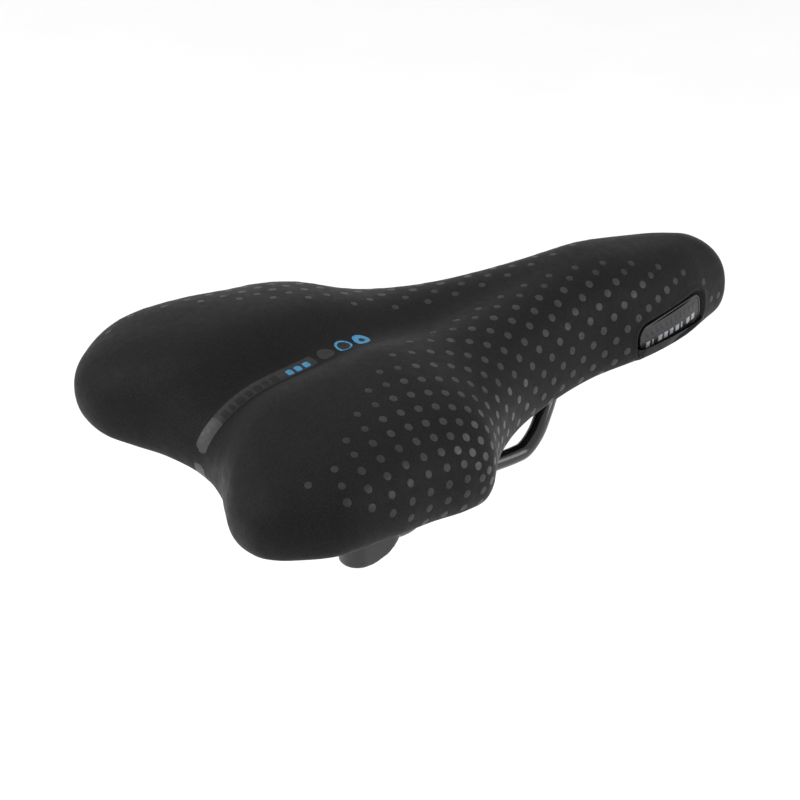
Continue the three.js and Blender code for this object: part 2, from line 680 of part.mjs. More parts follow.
for (const [side, label] of sides) {
  const x = side * RAIL_END_X;
  const headTop = SHOULDER_H - 1.8;
  const insertTop = BOSS_BOTTOM + INSERT_LENGTH;
  const clear = BOLT_RADIUS + GAP;
  const washer = ringSolid(clear, 4.4, x, BOLT_V, SHOULDER_H - 1.5, SHOULDER_H - GAP);
  const bolt = screwSolid(x, BOLT_V, 4.1, headTop - 3, headTop, BOLT_RADIUS, insertTop, 2);
  const insert = ringSolid(clear, INSERT_RADIUS, x, BOLT_V, BOSS_BOTTOM + 0.2, insertTop);
  addPart(`rear_carrier_${label}`, carrierSolid(side), COLORS.shell, 0.4);
  addPart(`elastomer_${label}`, elastomerGeometry(side), COLORS.rubber, 0.75);
  addPart(`bolt_washer_${label}`, washer, COLORS.zinc, 0.35, 0.9);
  addPart(`elastomer_bolt_${label}`, bolt, COLORS.zinc, 0.35, 0.9);
  addPart(`boss_insert_${label}`, insert, COLORS.brass, 0.35, 0.9);
}

export default saddle;
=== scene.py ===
import math

import bmesh
import bpy
import numpy as np
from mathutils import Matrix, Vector
from mathutils.bvhtree import BVHTree


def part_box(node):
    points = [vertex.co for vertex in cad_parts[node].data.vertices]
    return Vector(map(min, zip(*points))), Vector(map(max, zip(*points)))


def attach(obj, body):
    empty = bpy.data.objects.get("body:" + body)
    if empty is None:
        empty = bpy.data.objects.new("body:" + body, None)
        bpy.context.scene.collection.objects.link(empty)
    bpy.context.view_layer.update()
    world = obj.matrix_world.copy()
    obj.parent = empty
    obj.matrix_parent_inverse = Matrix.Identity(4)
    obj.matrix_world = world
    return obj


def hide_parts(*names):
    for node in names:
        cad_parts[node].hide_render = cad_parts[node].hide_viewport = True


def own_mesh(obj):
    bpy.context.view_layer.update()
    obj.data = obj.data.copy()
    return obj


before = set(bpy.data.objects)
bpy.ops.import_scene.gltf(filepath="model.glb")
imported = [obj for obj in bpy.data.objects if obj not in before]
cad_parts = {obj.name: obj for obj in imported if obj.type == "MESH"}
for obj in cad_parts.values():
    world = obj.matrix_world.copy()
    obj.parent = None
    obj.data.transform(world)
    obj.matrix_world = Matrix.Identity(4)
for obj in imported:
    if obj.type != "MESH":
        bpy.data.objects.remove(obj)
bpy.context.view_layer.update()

# Trekking bicycle saddle, dressed on its CAD frame.
# Shapes are worked out in millimetres with the dimensions of the CAD part, and stored in metres.
# v is the distance ahead of the rearmost edge, y = CLAMP_V - v, h the height above the rear ends
# of the rail. The clamp straight is RAIL_LEVEL higher, and every piece is lowered by that much
# when its mesh is stored.
MM = 0.001
CLAMP_V = 132.0

# ---------- dimensions shared with the CAD part ----------
RIM = [
    (0, 17.5), (20, 13.5), (34, 7), (46, 1.5), (57, 0), (67, 2), (76.5, 10), (85.5, 26),
    (85.5, 49), (82, 70), (80.5, 86), (76.5, 99), (62, 112), (49, 127), (39.5, 143), (33, 162),
    (28, 186), (27, 212), (22.5, 237), (15, 256), (9, 268), (0, 271.5),
]
SPINE_START = 49.5
SPINE_END = 246.5
RIM_HEIGHT = [(0, 37), (0.12, 41.5), (0.3, 46.5), (0.45, 43.5), (0.6, 41), (0.8, 43), (1, 42)]
ROUNDNESS = [(0, 1.7), (0.15, 2.6), (0.3, 2.9), (0.5, 2.5), (0.7, 2.6), (1, 2.2)]
SKIRT_DROP = [(0, 7.5), (0.15, 11.5), (0.3, 11.5), (0.45, 13.5), (0.7, 11.5), (1, 11.5)]
SKIRT_TUCK = [(0, 4.5), (0.3, 5.7), (0.6, 4.5), (1, 5)]
HEM_WIDTH = [(0, 8), (0.45, 8), (0.6, 5), (1, 4.5)]
CROWN = [(0, 72), (40, 76), (80, 76.5), (120, 71), (160, 72), (200, 73.5), (235, 69.5), (271, 64)]
CHANNEL_DEPTH = [(0, 17), (60, 13), (90, 8.5), (130, 4.5), (180, 0.5), (210, 0), (271, 0)]
CHANNEL_WIDTH = [(0, 17), (60, 15), (120, 13), (190, 10), (271, 10)]
CROWN_POWER = 2.2
SKIN = 1.3
GAP = 0.3
SHELL_INSET = [(0, 9), (0.5, 9), (0.7, 7.5), (1, 7.5)]
SHELL_CROWN = [(0, 43), (40, 49), (80, 53), (120, 53), (160, 51), (200, 51), (235, 49), (271, 45)]
SHELL_CHANNEL = [(0, 7), (60, 5), (90, 2), (130, 0), (271, 0)]
SHELL_LIP = 3.5

BADGE_LENGTH = 38.0
BADGE_HEIGHT = 13.2
BADGE_CORNER = 4.6
BADGE_TILT = 0.08
BADGE_V = 228.0
BADGE_H = 42.4

RAIL_RADIUS = 3.5
RAIL_LEVEL = 7.0
RAIL_SIDE = [
    (31.5, 75.3, 0), (31.5, 83, 0), (31.5, 91, 0.3), (29.6, 97.5, 2), (26.2, 103, 4.3),
    (23, 108.5, 6.4), (22, 114, RAIL_LEVEL), (22, 131, RAIL_LEVEL), (22, 150, RAIL_LEVEL),
    (21.8, 155, 7.8),
    (20.8, 161.5, 13), (18.4, 167.5, 20.6), (15.6, 172.5, 25.6), (13, 179, 28.4),
    (11.4, 190, 31.4), (11, 203, 34.4), (11, 211, 35.8), (11, 215, 36),
]
LOOP_HALF = 4.0
LOOP_BEND = 7.0
PIVOT_V = 222.0
PIVOT_H = 36.0
BUSH_RADIUS = 5.5
CAP_BOTTOM = 27.0
NOSE_SCREW_REACH = 11.5
BOLT_X = 31.5
BOLT_V = 67.8
BOLT_RADIUS = 2.5
BOLT_HOLE = 3.9
CARRIER_TOP = 7.0
SPRING_RADIUS = 9.0
SHOULDER_H = -1.5
BOSS_BOTTOM = 21.0
INSERT_LENGTH = 11.0

# ---------- camera, at the picture's viewing angle ----------
VIEW_AZIMUTH = math.radians(235.0)
VIEW_ELEVATION = math.radians(29.5)
VIEW_DISTANCE = 1.2
VIEW_TARGET = Vector((-0.0004, 0.0225, 0.0282))

back = Vector((
    math.sin(VIEW_AZIMUTH) * math.cos(VIEW_ELEVATION),
    -math.cos(VIEW_AZIMUTH) * math.cos(VIEW_ELEVATION),
    math.sin(VIEW_ELEVATION),
))
camera_data = bpy.data.cameras.new("camera")
camera_data.lens = 137.7
camera_data.sensor_width = 36.0
camera_data.clip_start = 0.01
camera_data.clip_end = 60.0
camera = bpy.data.objects.new("camera", camera_data)
camera.location = VIEW_TARGET + back * VIEW_DISTANCE
camera.rotation_euler = back.to_track_quat("Z", "Y").to_euler()
bpy.context.scene.collection.objects.link(camera)
bpy.context.scene.camera = camera
bpy.context.scene.view_settings.view_transform = "Standard"


# ---------- the saddle surface ----------
def profile(knots):
    """Smooth monotone curve through (position, value) knots."""
    xs, ys = (np.array(column, float) for column in zip(*knots))
    step = np.diff(xs)
    slope = np.diff(ys) / step
    tangent = np.zeros(len(xs))
    tangent[0] = slope[0]
    tangent[-1] = slope[-1]
    for i in range(1, len(xs) - 1):
        if slope[i - 1] * slope[i] > 0:
            w1 = 2 * step[i] + step[i - 1]
            w2 = step[i] + 2 * step[i - 1]
            tangent[i] = (w1 + w2) / (w1 / slope[i - 1] + w2 / slope[i])

    def value_at(position):
        x = np.clip(position, xs[0], xs[-1])
        i = np.clip(np.searchsorted(xs, x, side="right") - 1, 0, len(step) - 1)
        u = (x - xs[i]) / step[i]
        start = (2 * u**3 - 3 * u**2 + 1) * ys[i] + (u**3 - 2 * u**2 + u) * step[i] * tangent[i]
        end = (3 * u**2 - 2 * u**3) * ys[i + 1] + (u**3 - u**2) * step[i] * tangent[i + 1]
        return start + end

    return value_at


rim_height = profile(RIM_HEIGHT)
roundness = profile(ROUNDNESS)
skirt_drop = profile(SKIRT_DROP)
skirt_tuck = profile(SKIRT_TUCK)
hem_width = profile(HEM_WIDTH)
crown = profile(CROWN)
channel_depth = profile(CHANNEL_DEPTH)
channel_width = profile(CHANNEL_WIDTH)
shell_inset = profile(SHELL_INSET)
shell_crown = profile(SHELL_CROWN)
shell_channel = profile(SHELL_CHANNEL)


def smoothstep(x):
    u = np.clip(x, 0, 1)
    return u * u * (3 - 2 * u)


def dense_rim(steps=40):
    """The rim outline as many short steps of a uniform Catmull-Rom curve."""
    first = (-RIM[1][0], RIM[1][1])
    last = (-RIM[-2][0], RIM[-2][1])
    points = np.array([first, *RIM, last], float)
    dense = []
    for i in range(1, len(points) - 2):
        p0, p1, p2, p3 = points[i - 1:i + 3]
        for u in np.arange(steps) / steps:
            square = (2 * p0 - 5 * p1 + 4 * p2 - p3) * u**2
            cube = (-p0 + 3 * p1 - 3 * p2 + p3) * u**3
            dense.append(0.5 * (2 * p1 + (p2 - p0) * u + square + cube))
    dense.append(points[-2])
    return np.array(dense)


outline = dense_rim()
outline_arc = np.concatenate([[0], np.cumsum(np.hypot(*np.diff(outline, axis=0).T))])
RIM_LENGTH = outline_arc[-1]


def rim_at(s):
    """Rim point (x, v) at share s of its length; s may run a little past either end."""
    folded = np.where(s < 0, -s, np.where(s > 1, 2 - s, s))
    x = np.interp(folded * RIM_LENGTH, outline_arc, outline[:, 0])
    v = np.interp(folded * RIM_LENGTH, outline_arc, outline[:, 1])
    return np.where((s < 0) | (s > 1), -x, x), v


def rim_normal(s, reach=0.004):
    x0, v0 = rim_at(s - reach)
    x1, v1 = rim_at(s + reach)
    length = np.hypot(x1 - x0, v1 - v0)
    return (v1 - v0) / length, -(x1 - x0) / length


# The CAD part spaces its 30 stations like this, and its spine keeps a least step per station.
station_index = np.arange(31)
station_rest = 1 - station_index / 30
station_share = 1 - station_rest * (1 - 0.55 * np.exp(-station_rest / 0.1))


def spine_at(s):
    v = rim_at(s)[1]
    knee = SPINE_END - 10
    over = np.maximum(v - knee, 0)
    capped = np.where(v < knee, v, knee + 10 * (1 - np.exp(-over / 10)))
    w = smoothstep((s - 0.2) / 0.4)
    slow = SPINE_START + 0.62 * (SPINE_END - SPINE_START) * s
    least = SPINE_START + 0.5 * np.interp(s, station_share, station_index)
    return np.maximum((1 - w) * slow + w * capped, least)


def top_height(x, v, crown_curve, depth_curve):
    return crown_curve(v) - depth_curve(v) * np.exp(-(x / channel_width(v)) ** 2)


def dome(s, t, edge_x, edge_v, edge_h, crown_curve, depth_curve):
    """Points of the crowned top: t is 0 on the spine and 1 on the edge."""
    n = roundness(s)
    x = edge_x * t
    v = spine_at(s) + (edge_v - spine_at(s)) * t
    roll = np.maximum(1 - t**n, 0) ** (1 / CROWN_POWER)
    h = edge_h + (top_height(x, v, crown_curve, depth_curve) - edge_h) * roll
    return np.stack([x, CLAMP_V - v, h], -1)


def inset_point(s, distance):
    x, v = rim_at(s)
    nx, nv = rim_normal(s)
    return np.maximum(x - nx * distance, 0), v - nv * distance


def upper_rows(s, rows):
    """Cover top from the spine to the rim, one row of points per share in rows."""
    x, v = rim_at(s)
    h = rim_height(s)
    return [dome(s, t, x, v, h, crown, channel_depth) for t in rows]


def wall_row(s, angle, inwards=0.0):
    """One row of the side wall: angle is 0 at the rim and 90 degrees at the lip."""
    b = math.radians(angle)
    inset = skirt_tuck(s) * (1 - math.cos(b)) + inwards
    x, v = inset_point(s, inset)
    h = rim_height(s) - skirt_drop(s) * math.sin(b)
    return np.stack([x, CLAMP_V - v, h], -1)


def hem_row(s, share, rise):
    x, v = inset_point(s, skirt_tuck(s) + hem_width(s) * share)
    h = rim_height(s) - skirt_drop(s) + rise
    return np.stack([x, CLAMP_V - v, h], -1)


def crowded(count, power):
    """Shares from 0 to 1 that crowd towards 1."""
    return 1 - (1 - np.linspace(0, 1, count)) ** power


def ring_mesh(rows):
    """Vertices and faces of a saddle-shaped sheet: rows of stations, mirrored, sharing the spine."""
    grid = np.array(rows).transpose(1, 0, 2)
    stations, count = grid.shape[:2]
    last = stations - 1
    verts = []
    index = np.zeros((2 * last, count), int)
    for m in range(2 * last):
        i = m if m <= last else 2 * last - m
        sign = 1 if m <= last else -1
        for j in range(count):
            if j == 0 and m > last:
                index[m, 0] = index[i, 0]
                continue
            index[m, j] = len(verts)
            verts.append((sign * grid[i, j, 0], grid[i, j, 1], grid[i, j, 2]))
    faces = []
    for m in range(2 * last):
        n = (m + 1) % (2 * last)
        for j in range(count - 1):
            faces.append((index[m, j], index[n, j], index[n, j + 1], index[m, j + 1]))
    return np.array(verts), faces


# ---------- mesh helpers ----------
def stored(verts_mm):
    """Millimetres above the rail ends to metres above the clamp."""
    return (np.asarray(verts_mm) - np.array([0, 0, RAIL_LEVEL])) * MM


def new_piece(name, verts_mm, faces, materials, flat_angle=None):
    mesh = bpy.data.meshes.new(name)
    mesh.from_pydata([tuple(v) for v in stored(verts_mm)], [], [tuple(f) for f in faces])
    mesh.validate()
    for material in materials:
        mesh.materials.append(material)
    for polygon in mesh.polygons:
        polygon.use_smooth = True
    if flat_angle:
        mesh.set_sharp_from_angle(angle=math.radians(flat_angle))
    piece = bpy.data.objects.new(name, mesh)
    bpy.context.scene.collection.objects.link(piece)
    return piece


def fix_normals(piece):
    bm = bmesh.new()
    bm.from_mesh(piece.data)
    bmesh.ops.recalc_face_normals(bm, faces=bm.faces)
    bm.to_mesh(piece.data)
    bm.free()


def put(piece, body, slot, *replaced):
    if replaced:
        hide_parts(*replaced)
    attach(piece, body)
    return piece


def lathe(rings, x, v, segments=64, sideways=False):
    """Closed turned solid. Each ring is (radius, height); a radius may be a function of the angle.
    The ends close on the axis, unless the last ring repeats the first, as in a ring-shaped piece."""
    hollow = rings[0] == rings[-1]
    used = rings[:-1] if hollow else rings
    verts = []
    for radius, height in used:
        for k in range(segments):
            angle = 2 * math.pi * k / segments
            r = radius(angle) if callable(radius) else radius
            verts.append((r * math.cos(angle), r * math.sin(angle), height))
    faces = []
    count = len(used)
    for j in range(count if hollow else count - 1):
        for k in range(segments):
            a = j * segments + k
            b = j * segments + (k + 1) % segments
            c = ((j + 1) % count) * segments + (k + 1) % segments
            d = ((j + 1) % count) * segments + k
            faces.append((a, b, c, d))
    if not hollow:
        faces.append(tuple(range(segments))[::-1])
        faces.append(tuple((count - 1) * segments + k for k in range(segments)))
    verts = np.array(verts)
    if sideways:
        verts = verts[:, [2, 0, 1]]
    return verts + np.array([x, CLAMP_V - v, 0]), faces


def hexagon(apothem):
    def radius(angle):
        return apothem / math.cos((angle + math.pi / 6) % (math.pi / 3) - math.pi / 6)
    return radius


# ---------- materials ----------
class Shader:
    """A node material with a principled shader and a few ready-made texture chains."""

    def __init__(self, name, color, roughness, metallic=0.0, specular=0.5):
        self.material = bpy.data.materials.new(name)
        self.material.use_nodes = True
        self.nodes = self.material.node_tree.nodes
        self.links = self.material.node_tree.links
        self.shader = self.nodes["Principled BSDF"]
        self.shader.inputs["Base Color"].default_value = (*color, 1)
        self.shader.inputs["Roughness"].default_value = roughness
        self.shader.inputs["Metallic"].default_value = metallic
        self.shader.inputs["Specular IOR Level"].default_value = specular
        self.coordinates = self.nodes.new("ShaderNodeTexCoord").outputs["Object"]
        self.bump_chain = None

    def stretched(self, scale):
        mapping = self.nodes.new("ShaderNodeMapping")
        mapping.inputs["Scale"].default_value = scale
        self.links.new(self.coordinates, mapping.inputs["Vector"])
        return mapping.outputs["Vector"]

    def noise(self, scale, detail=3.0, vector=None, rough=0.6):
        texture = self.nodes.new("ShaderNodeTexNoise")
        texture.inputs["Scale"].default_value = scale
        texture.inputs["Detail"].default_value = detail
        texture.inputs["Roughness"].default_value = rough
        self.links.new(vector or self.coordinates, texture.inputs["Vector"])
        return texture.outputs["Fac"]

    def cells(self, scale, feature="F1", randomness=1.0):
        texture = self.nodes.new("ShaderNodeTexVoronoi")
        texture.feature = feature
        texture.inputs["Scale"].default_value = scale
        texture.inputs["Randomness"].default_value = randomness
        self.links.new(self.coordinates, texture.inputs["Vector"])
        return texture.outputs["Distance"]

    def ranged(self, value, low, high, to_low, to_high):
        node = self.nodes.new("ShaderNodeMapRange")
        node.inputs["From Min"].default_value = low
        node.inputs["From Max"].default_value = high
        node.inputs["To Min"].default_value = to_low
        node.inputs["To Max"].default_value = to_high
        self.links.new(value, node.inputs["Value"])
        return node.outputs["Result"]

    def combined(self, a, b, operation="MULTIPLY"):
        node = self.nodes.new("ShaderNodeMath")
        node.operation = operation
        self.links.new(a, node.inputs[0])
        self.links.new(b, node.inputs[1])
        return node.outputs["Value"]

    def color_from(self, value, stops):
        ramp = self.nodes.new("ShaderNodeValToRGB")
        ramp.color_ramp.elements[0].position = stops[0][0]
        ramp.color_ramp.elements[0].color = (*stops[0][1], 1)
        ramp.color_ramp.elements[1].position = stops[-1][0]
        ramp.color_ramp.elements[1].color = (*stops[-1][1], 1)
        for position, color in stops[1:-1]:
            ramp.color_ramp.elements.new(position).color = (*color, 1)
        self.links.new(value, ramp.inputs["Fac"])
        self.links.new(ramp.outputs["Color"], self.shader.inputs["Base Color"])

    def roughness_from(self, value, smooth, rough):
        result = self.ranged(value, 0.3, 0.7, smooth, rough)
        self.links.new(result, self.shader.inputs["Roughness"])

    def bump(self, value, strength, depth_mm):
        node = self.nodes.new("ShaderNodeBump")
        node.inputs["Strength"].default_value = strength
        node.inputs["Distance"].default_value = depth_mm * MM
        self.links.new(value, node.inputs["Height"])
        if self.bump_chain:
            self.links.new(self.bump_chain, node.inputs["Normal"])
        self.bump_chain = node.outputs["Normal"]
        self.links.new(self.bump_chain, self.shader.inputs["Normal"])

    def set(self, **values):
        for key, value in values.items():
            self.shader.inputs[key.replace("_", " ")].default_value = value
        return self


def microfibre():
    """Black brushed microfibre: short speckled nap, a fine grain and faint rubbed patches."""
    m = Shader("cover_microfibre", (0.0075, 0.0075, 0.008), 0.6, specular=0.1)
    nap = m.noise(1700.0, 4.0, rough=0.75)
    rubbed = m.noise(38.0, 3.0)
    mixed = m.combined(nap, m.ranged(rubbed, 0.3, 0.7, 0.95, 1.05))
    m.color_from(mixed, [
        (0.28, (0.0035, 0.0035, 0.0038)),
        (0.5, (0.0075, 0.0075, 0.008)),
        (0.72, (0.016, 0.016, 0.017)),
    ])
    m.roughness_from(m.noise(260.0, 3.0), 0.5, 0.64)
    m.bump(m.cells(1500.0), 0.3, 0.12)
    m.bump(nap, 0.35, 0.1)
    m.set(Sheen_Weight=0.025, Sheen_Roughness=0.45, Sheen_Tint=(0.8, 0.8, 0.85, 1))
    return m.material


def print_ink(name, color, roughness=0.42):
    """Rubbery screen print: it lets the fabric's grain through and is slightly patchy."""
    m = Shader(name, color, roughness, specular=0.25)
    patch = m.noise(900.0, 3.0)
    dark = tuple(c * 0.72 for c in color)
    light = tuple(min(c * 1.25, 1) for c in color)
    m.color_from(patch, [(0.3, dark), (0.5, color), (0.72, light)])
    m.roughness_from(m.noise(600.0), roughness - 0.08, roughness + 0.12)
    m.bump(m.cells(1400.0), 0.25, 0.06)
    return m.material


def moulded(name, color, smooth, rough, grain=1500.0, depth=0.05):
    """Injection-moulded plastic with a fine spark-eroded grain, flow marks and faint scuffs."""
    m = Shader(name, color, (smooth + rough) / 2)
    patch = m.noise(70.0, 4.0)
    light = tuple(min(c * 1.35 + 0.004, 1) for c in color)
    m.color_from(patch, [(0.3, tuple(c * 0.8 for c in color)), (0.52, color), (0.75, light)])
    scuff = m.noise(1.0, 5.0, m.stretched((900, 120, 300)), 0.7)
    m.roughness_from(scuff, smooth, rough)
    m.bump(m.cells(grain), 0.35, depth)
    m.bump(m.noise(grain * 0.6, 3.0), 0.3, depth)
    m.bump(patch, 0.08, 0.4)
    return m.material


def rubber(name, color):
    m = Shader(name, color, 0.72, specular=0.4)
    m.color_from(m.noise(420.0, 5.0), [
        (0.3, tuple(c * 0.75 for c in color)), (0.5, color), (0.75, tuple(c * 1.6 for c in color)),
    ])
    m.roughness_from(m.noise(240.0, 3.0), 0.6, 0.85)
    m.bump(m.noise(1400.0, 4.0), 0.4, 0.06)
    return m.material


def enamel():
    """Glossy black lacquer on the steel rail, with an orange-peel surface and thin rub marks."""
    m = Shader("rail_black_lacquer", (0.006, 0.006, 0.007), 0.16)
    m.color_from(m.noise(180.0, 4.0), [(0.3, (0.004, 0.004, 0.005)), (0.75, (0.012, 0.012, 0.014))])
    m.roughness_from(m.noise(1.0, 5.0, m.stretched((1500, 160, 900)), 0.7), 0.1, 0.3)
    m.bump(m.noise(420.0, 2.0), 0.12, 0.08)
    m.set(Coat_Weight=0.25, Coat_Roughness=0.1)
    return m.material


def plated(name, color, smooth=0.22, rough=0.42):
    """Zinc or brass: turned grooves, cloudy passivation and small dark pits."""
    m = Shader(name, color, (smooth + rough) / 2, metallic=1.0)
    cloud = m.noise(310.0, 5.0)
    m.color_from(cloud, [
        (0.28, tuple(c * 0.62 for c in color)), (0.5, color),
        (0.75, tuple(min(c * 1.15, 1) for c in color)),
    ])
    m.roughness_from(m.noise(500.0, 4.0), smooth, rough)
    m.bump(m.noise(1.0, 3.0, m.stretched((500, 500, 5200))), 0.2, 0.03)
    m.bump(m.cells(900.0), 0.12, 0.04)
    return m.material


def foam_stuff():
    m = Shader("cream_foam", (0.62, 0.54, 0.38), 0.95, specular=0.2)
    m.color_from(m.noise(500.0, 5.0), [(0.3, (0.48, 0.4, 0.25)), (0.72, (0.72, 0.65, 0.48))])
    m.bump(m.cells(1300.0), 0.8, 0.35)
    m.bump(m.noise(900.0, 4.0), 0.5, 0.2)
    return m.material


def gel_stuff():
    m = Shader("blue_gel", (0.12, 0.32, 0.55), 0.2)
    m.color_from(m.noise(130.0, 4.0), [(0.3, (0.07, 0.22, 0.42)), (0.72, (0.2, 0.46, 0.7))])
    m.bump(m.noise(220.0, 2.0), 0.3, 0.3)
    m.set(Subsurface_Weight=0.3, Subsurface_Scale=0.004)
    return m.material


COVER = microfibre()
# The lighter print grey is a painted highlight where light glints off the dots; the mid grey is the
# ink's own colour.
INK_PAINTED_HIGHLIGHT = print_ink("print_grey_painted_highlight", (0.052, 0.052, 0.054))
INK_MID = print_ink("print_grey_mid", (0.026, 0.026, 0.027))
INK_FAINT = print_ink("print_grey_faint", (0.018, 0.018, 0.019))
STRIP_GREY = print_ink("strip_grey", (0.04, 0.0395, 0.041))
STRIP_FAINT = print_ink("strip_faint", (0.016, 0.016, 0.0165))
STRIP_DARK = print_ink("strip_dark", (0.005, 0.005, 0.0055))
STRIP_PALE = print_ink("strip_pale", (0.3, 0.32, 0.34))
STRIP_BLUE = print_ink("strip_blue", (0.045, 0.2, 0.36))
SHELL_PLASTIC = moulded("shell_black_nylon", (0.013, 0.013, 0.0135), 0.34, 0.56)
CARRIER_PLASTIC = moulded("carrier_satin_black", (0.016, 0.016, 0.017), 0.26, 0.4, 2200.0, 0.03)
BADGE_PLASTIC = moulded("badge_graphite", (0.013, 0.013, 0.014), 0.4, 0.55, 2600.0, 0.02)
BADGE_EDGE = moulded("badge_dark_edge", (0.012, 0.012, 0.013), 0.2, 0.32, 2600.0, 0.02)
RUBBER = rubber("elastomer_rubber", (0.017, 0.017, 0.018))
BUSH = rubber("bush_rubber", (0.024, 0.024, 0.025))
ENAMEL = enamel()
ZINC = plated("bright_zinc", (0.62, 0.63, 0.65))
BRASS = plated("brass", (0.62, 0.45, 0.18), 0.28, 0.45)
FOAM = foam_stuff()
GEL = gel_stuff()


# ---------- cover ----------
def badge_distance(y, h, grow=0.0):
    """Distance outside the badge's rounded outline, seen from the side."""
    dv = (CLAMP_V - y) - BADGE_V
    dh = h - BADGE_H
    a = dv * math.cos(BADGE_TILT) + dh * math.sin(BADGE_TILT)
    b = dh * math.cos(BADGE_TILT) - dv * math.sin(BADGE_TILT)
    qa = np.abs(a) - (BADGE_LENGTH / 2 + grow - BADGE_CORNER)
    qb = np.abs(b) - (BADGE_HEIGHT / 2 + grow - BADGE_CORNER)
    outside = np.hypot(np.maximum(qa, 0), np.maximum(qb, 0))
    return outside + np.minimum(np.maximum(qa, qb), 0) - BADGE_CORNER


def cover_stations(count):
    """Station shares, closer together round the badge and the nose tip."""
    s = np.linspace(0, 1, 2001)
    density = 1 + 2.2 * np.exp(-(((s - 0.853) / 0.058) ** 6)) + 0.8 * smoothstep((s - 0.93) / 0.04)
    total = np.concatenate([[0], np.cumsum((density[1:] + density[:-1]) / 2)])
    return np.interp(np.linspace(0, 1, count + 1), total / total[-1], s)


stations = cover_stations(300)
DOME_ROWS = crowded(78, 2.2)
WALL_ROWS = np.arange(5, 91, 5)
cover_rows = upper_rows(stations, DOME_ROWS)
cover_rows += [wall_row(stations, angle) for angle in WALL_ROWS]
outer_verts, outer_faces = ring_mesh(cover_rows)
skin_verts = outer_verts.copy()
hem_rows = [
    hem_row(stations, 0.04, -0.25), hem_row(stations, 0.35, -0.1), hem_row(stations, 0.7, 0.0),
    hem_row(stations, 0.96, 0.02), hem_row(stations, 1.0, 0.3), hem_row(stations, 1.0, SKIN - 0.3),
    hem_row(stations, 0.96, SKIN), hem_row(stations, 0.3, SKIN), hem_row(stations, SKIN / 8, SKIN),
    wall_row(stations, 70, SKIN), wall_row(stations, 45, SKIN), wall_row(stations, 20, SKIN),
]
cover_verts, cover_faces = ring_mesh(cover_rows + hem_rows)
cover_piece = new_piece("saddle_cover", cover_verts, cover_faces, [COVER])
fix_normals(cover_piece)

# The skin dips into a smooth-edged pocket round each badge. Everything ahead of NOSE_V is nose.
NOSE_V = 195
POCKET_DEPTH = 2.3
POCKET_RIM = 2.0
co = cover_verts.copy()
normals = np.array([v.normal for v in cover_piece.data.vertices])
near = badge_distance(co[:, 1], co[:, 2])
facing = np.abs(normals[:, 0]) > 0.35
on_nose = (co[:, 1] < CLAMP_V - NOSE_V) & facing
sink = POCKET_DEPTH * (1 - smoothstep((near - 0.35) / POCKET_RIM))
lifted = 0.35 * np.exp(-((near - 2.9) / 0.9) ** 2)
move = np.where(on_nose, lifted - sink, 0)
co = co + normals * move[:, None]
cover_piece.data.vertices.foreach_set("co", stored(co).astype(np.float32).ravel())
cover_piece.data.update()
put(cover_piece, "seat", "cover", "cover")

outer_tree = BVHTree.FromPolygons([tuple(v) for v in skin_verts], [tuple(f) for f in outer_faces])


def settle(point, rise):
    """The nearest point on the cover, lifted by rise millimetres."""
    place, normal, _, _ = outer_tree.find_nearest(Vector(point))
    outwards = place - Vector((0, place.y, 42))
    if normal.dot(outwards) < 0:
        normal = -normal
    return place + normal * rise, normal


# ---------- printed dots ----------
# The dots are a square print turned 45 degrees. Row p counts forwards and column q outwards,
# and both keep to a smooth curve over the length, as the fabric was stretched over the wing.
DOT_V = profile([(-8, 38), (-4, 58.5), (0, 76.5), (4, 94.5), (8, 118), (28, 237.5), (34, 273)])
DOT_LEAN = profile([(-8, 4.4), (-4, 4.2), (0, 3), (4, 2), (8, 0.4), (10, 0), (34, 0)])
DOT_AXIS = profile([
    (30, 103), (41, 93), (60, 76), (76, 62.5), (94, 49), (107, 39.5), (118, 34), (141, 28),
    (165, 25.4), (190, 27.2), (212, 33), (240, 41), (271, 50),
])
DOT_PITCH = profile([(60, 6.2), (95, 6.1), (115, 5.4), (150, 5), (271, 5)])
DOT_FIRST_COLUMN = -4
DOT_LAST_COLUMN = 12
DOT_RADIUS = 1.62


def section_curve(y):
    """The cover's cross-section at y: arc lengths from the centre line, and points."""
    points = []
    for angle in np.radians(np.arange(0, 126, 1.5)):
        direction = Vector((math.sin(angle), 0, math.cos(angle)))
        hit = outer_tree.ray_cast(Vector((1e-4, y, 42)), direction)[0]
        if hit is None:
            break
        points.append(hit)
    if len(points) < 5:
        return None
    points = np.array(points)
    arc = np.concatenate([[0], np.cumsum(np.linalg.norm(np.diff(points, axis=0), axis=1))])
    return arc, points


def dot_disc(centre, radius, rise, sides=22):
    place, normal = settle(centre, rise)
    along = Vector((0, 1, 0)) - normal * normal.y
    along.normalize()
    across = normal.cross(along)
    verts = [settle(place, rise + 0.02)[0]]
    for share, lift in ((0.5, 0.02), (0.88, 0.015), (1.0, -0.03)):
        for k in range(sides):
            a = 2 * math.pi * k / sides
            spot = place + (along * math.cos(a) + across * math.sin(a)) * radius * share
            verts.append(settle(spot, rise + lift)[0])
    faces = [(0, 1 + k, 1 + (k + 1) % sides) for k in range(sides)]
    for ring in range(2):
        for k in range(sides):
            a = 1 + ring * sides + k
            b = 1 + ring * sides + (k + 1) % sides
            faces.append((a, a + sides, b + sides, b))
    return verts, faces


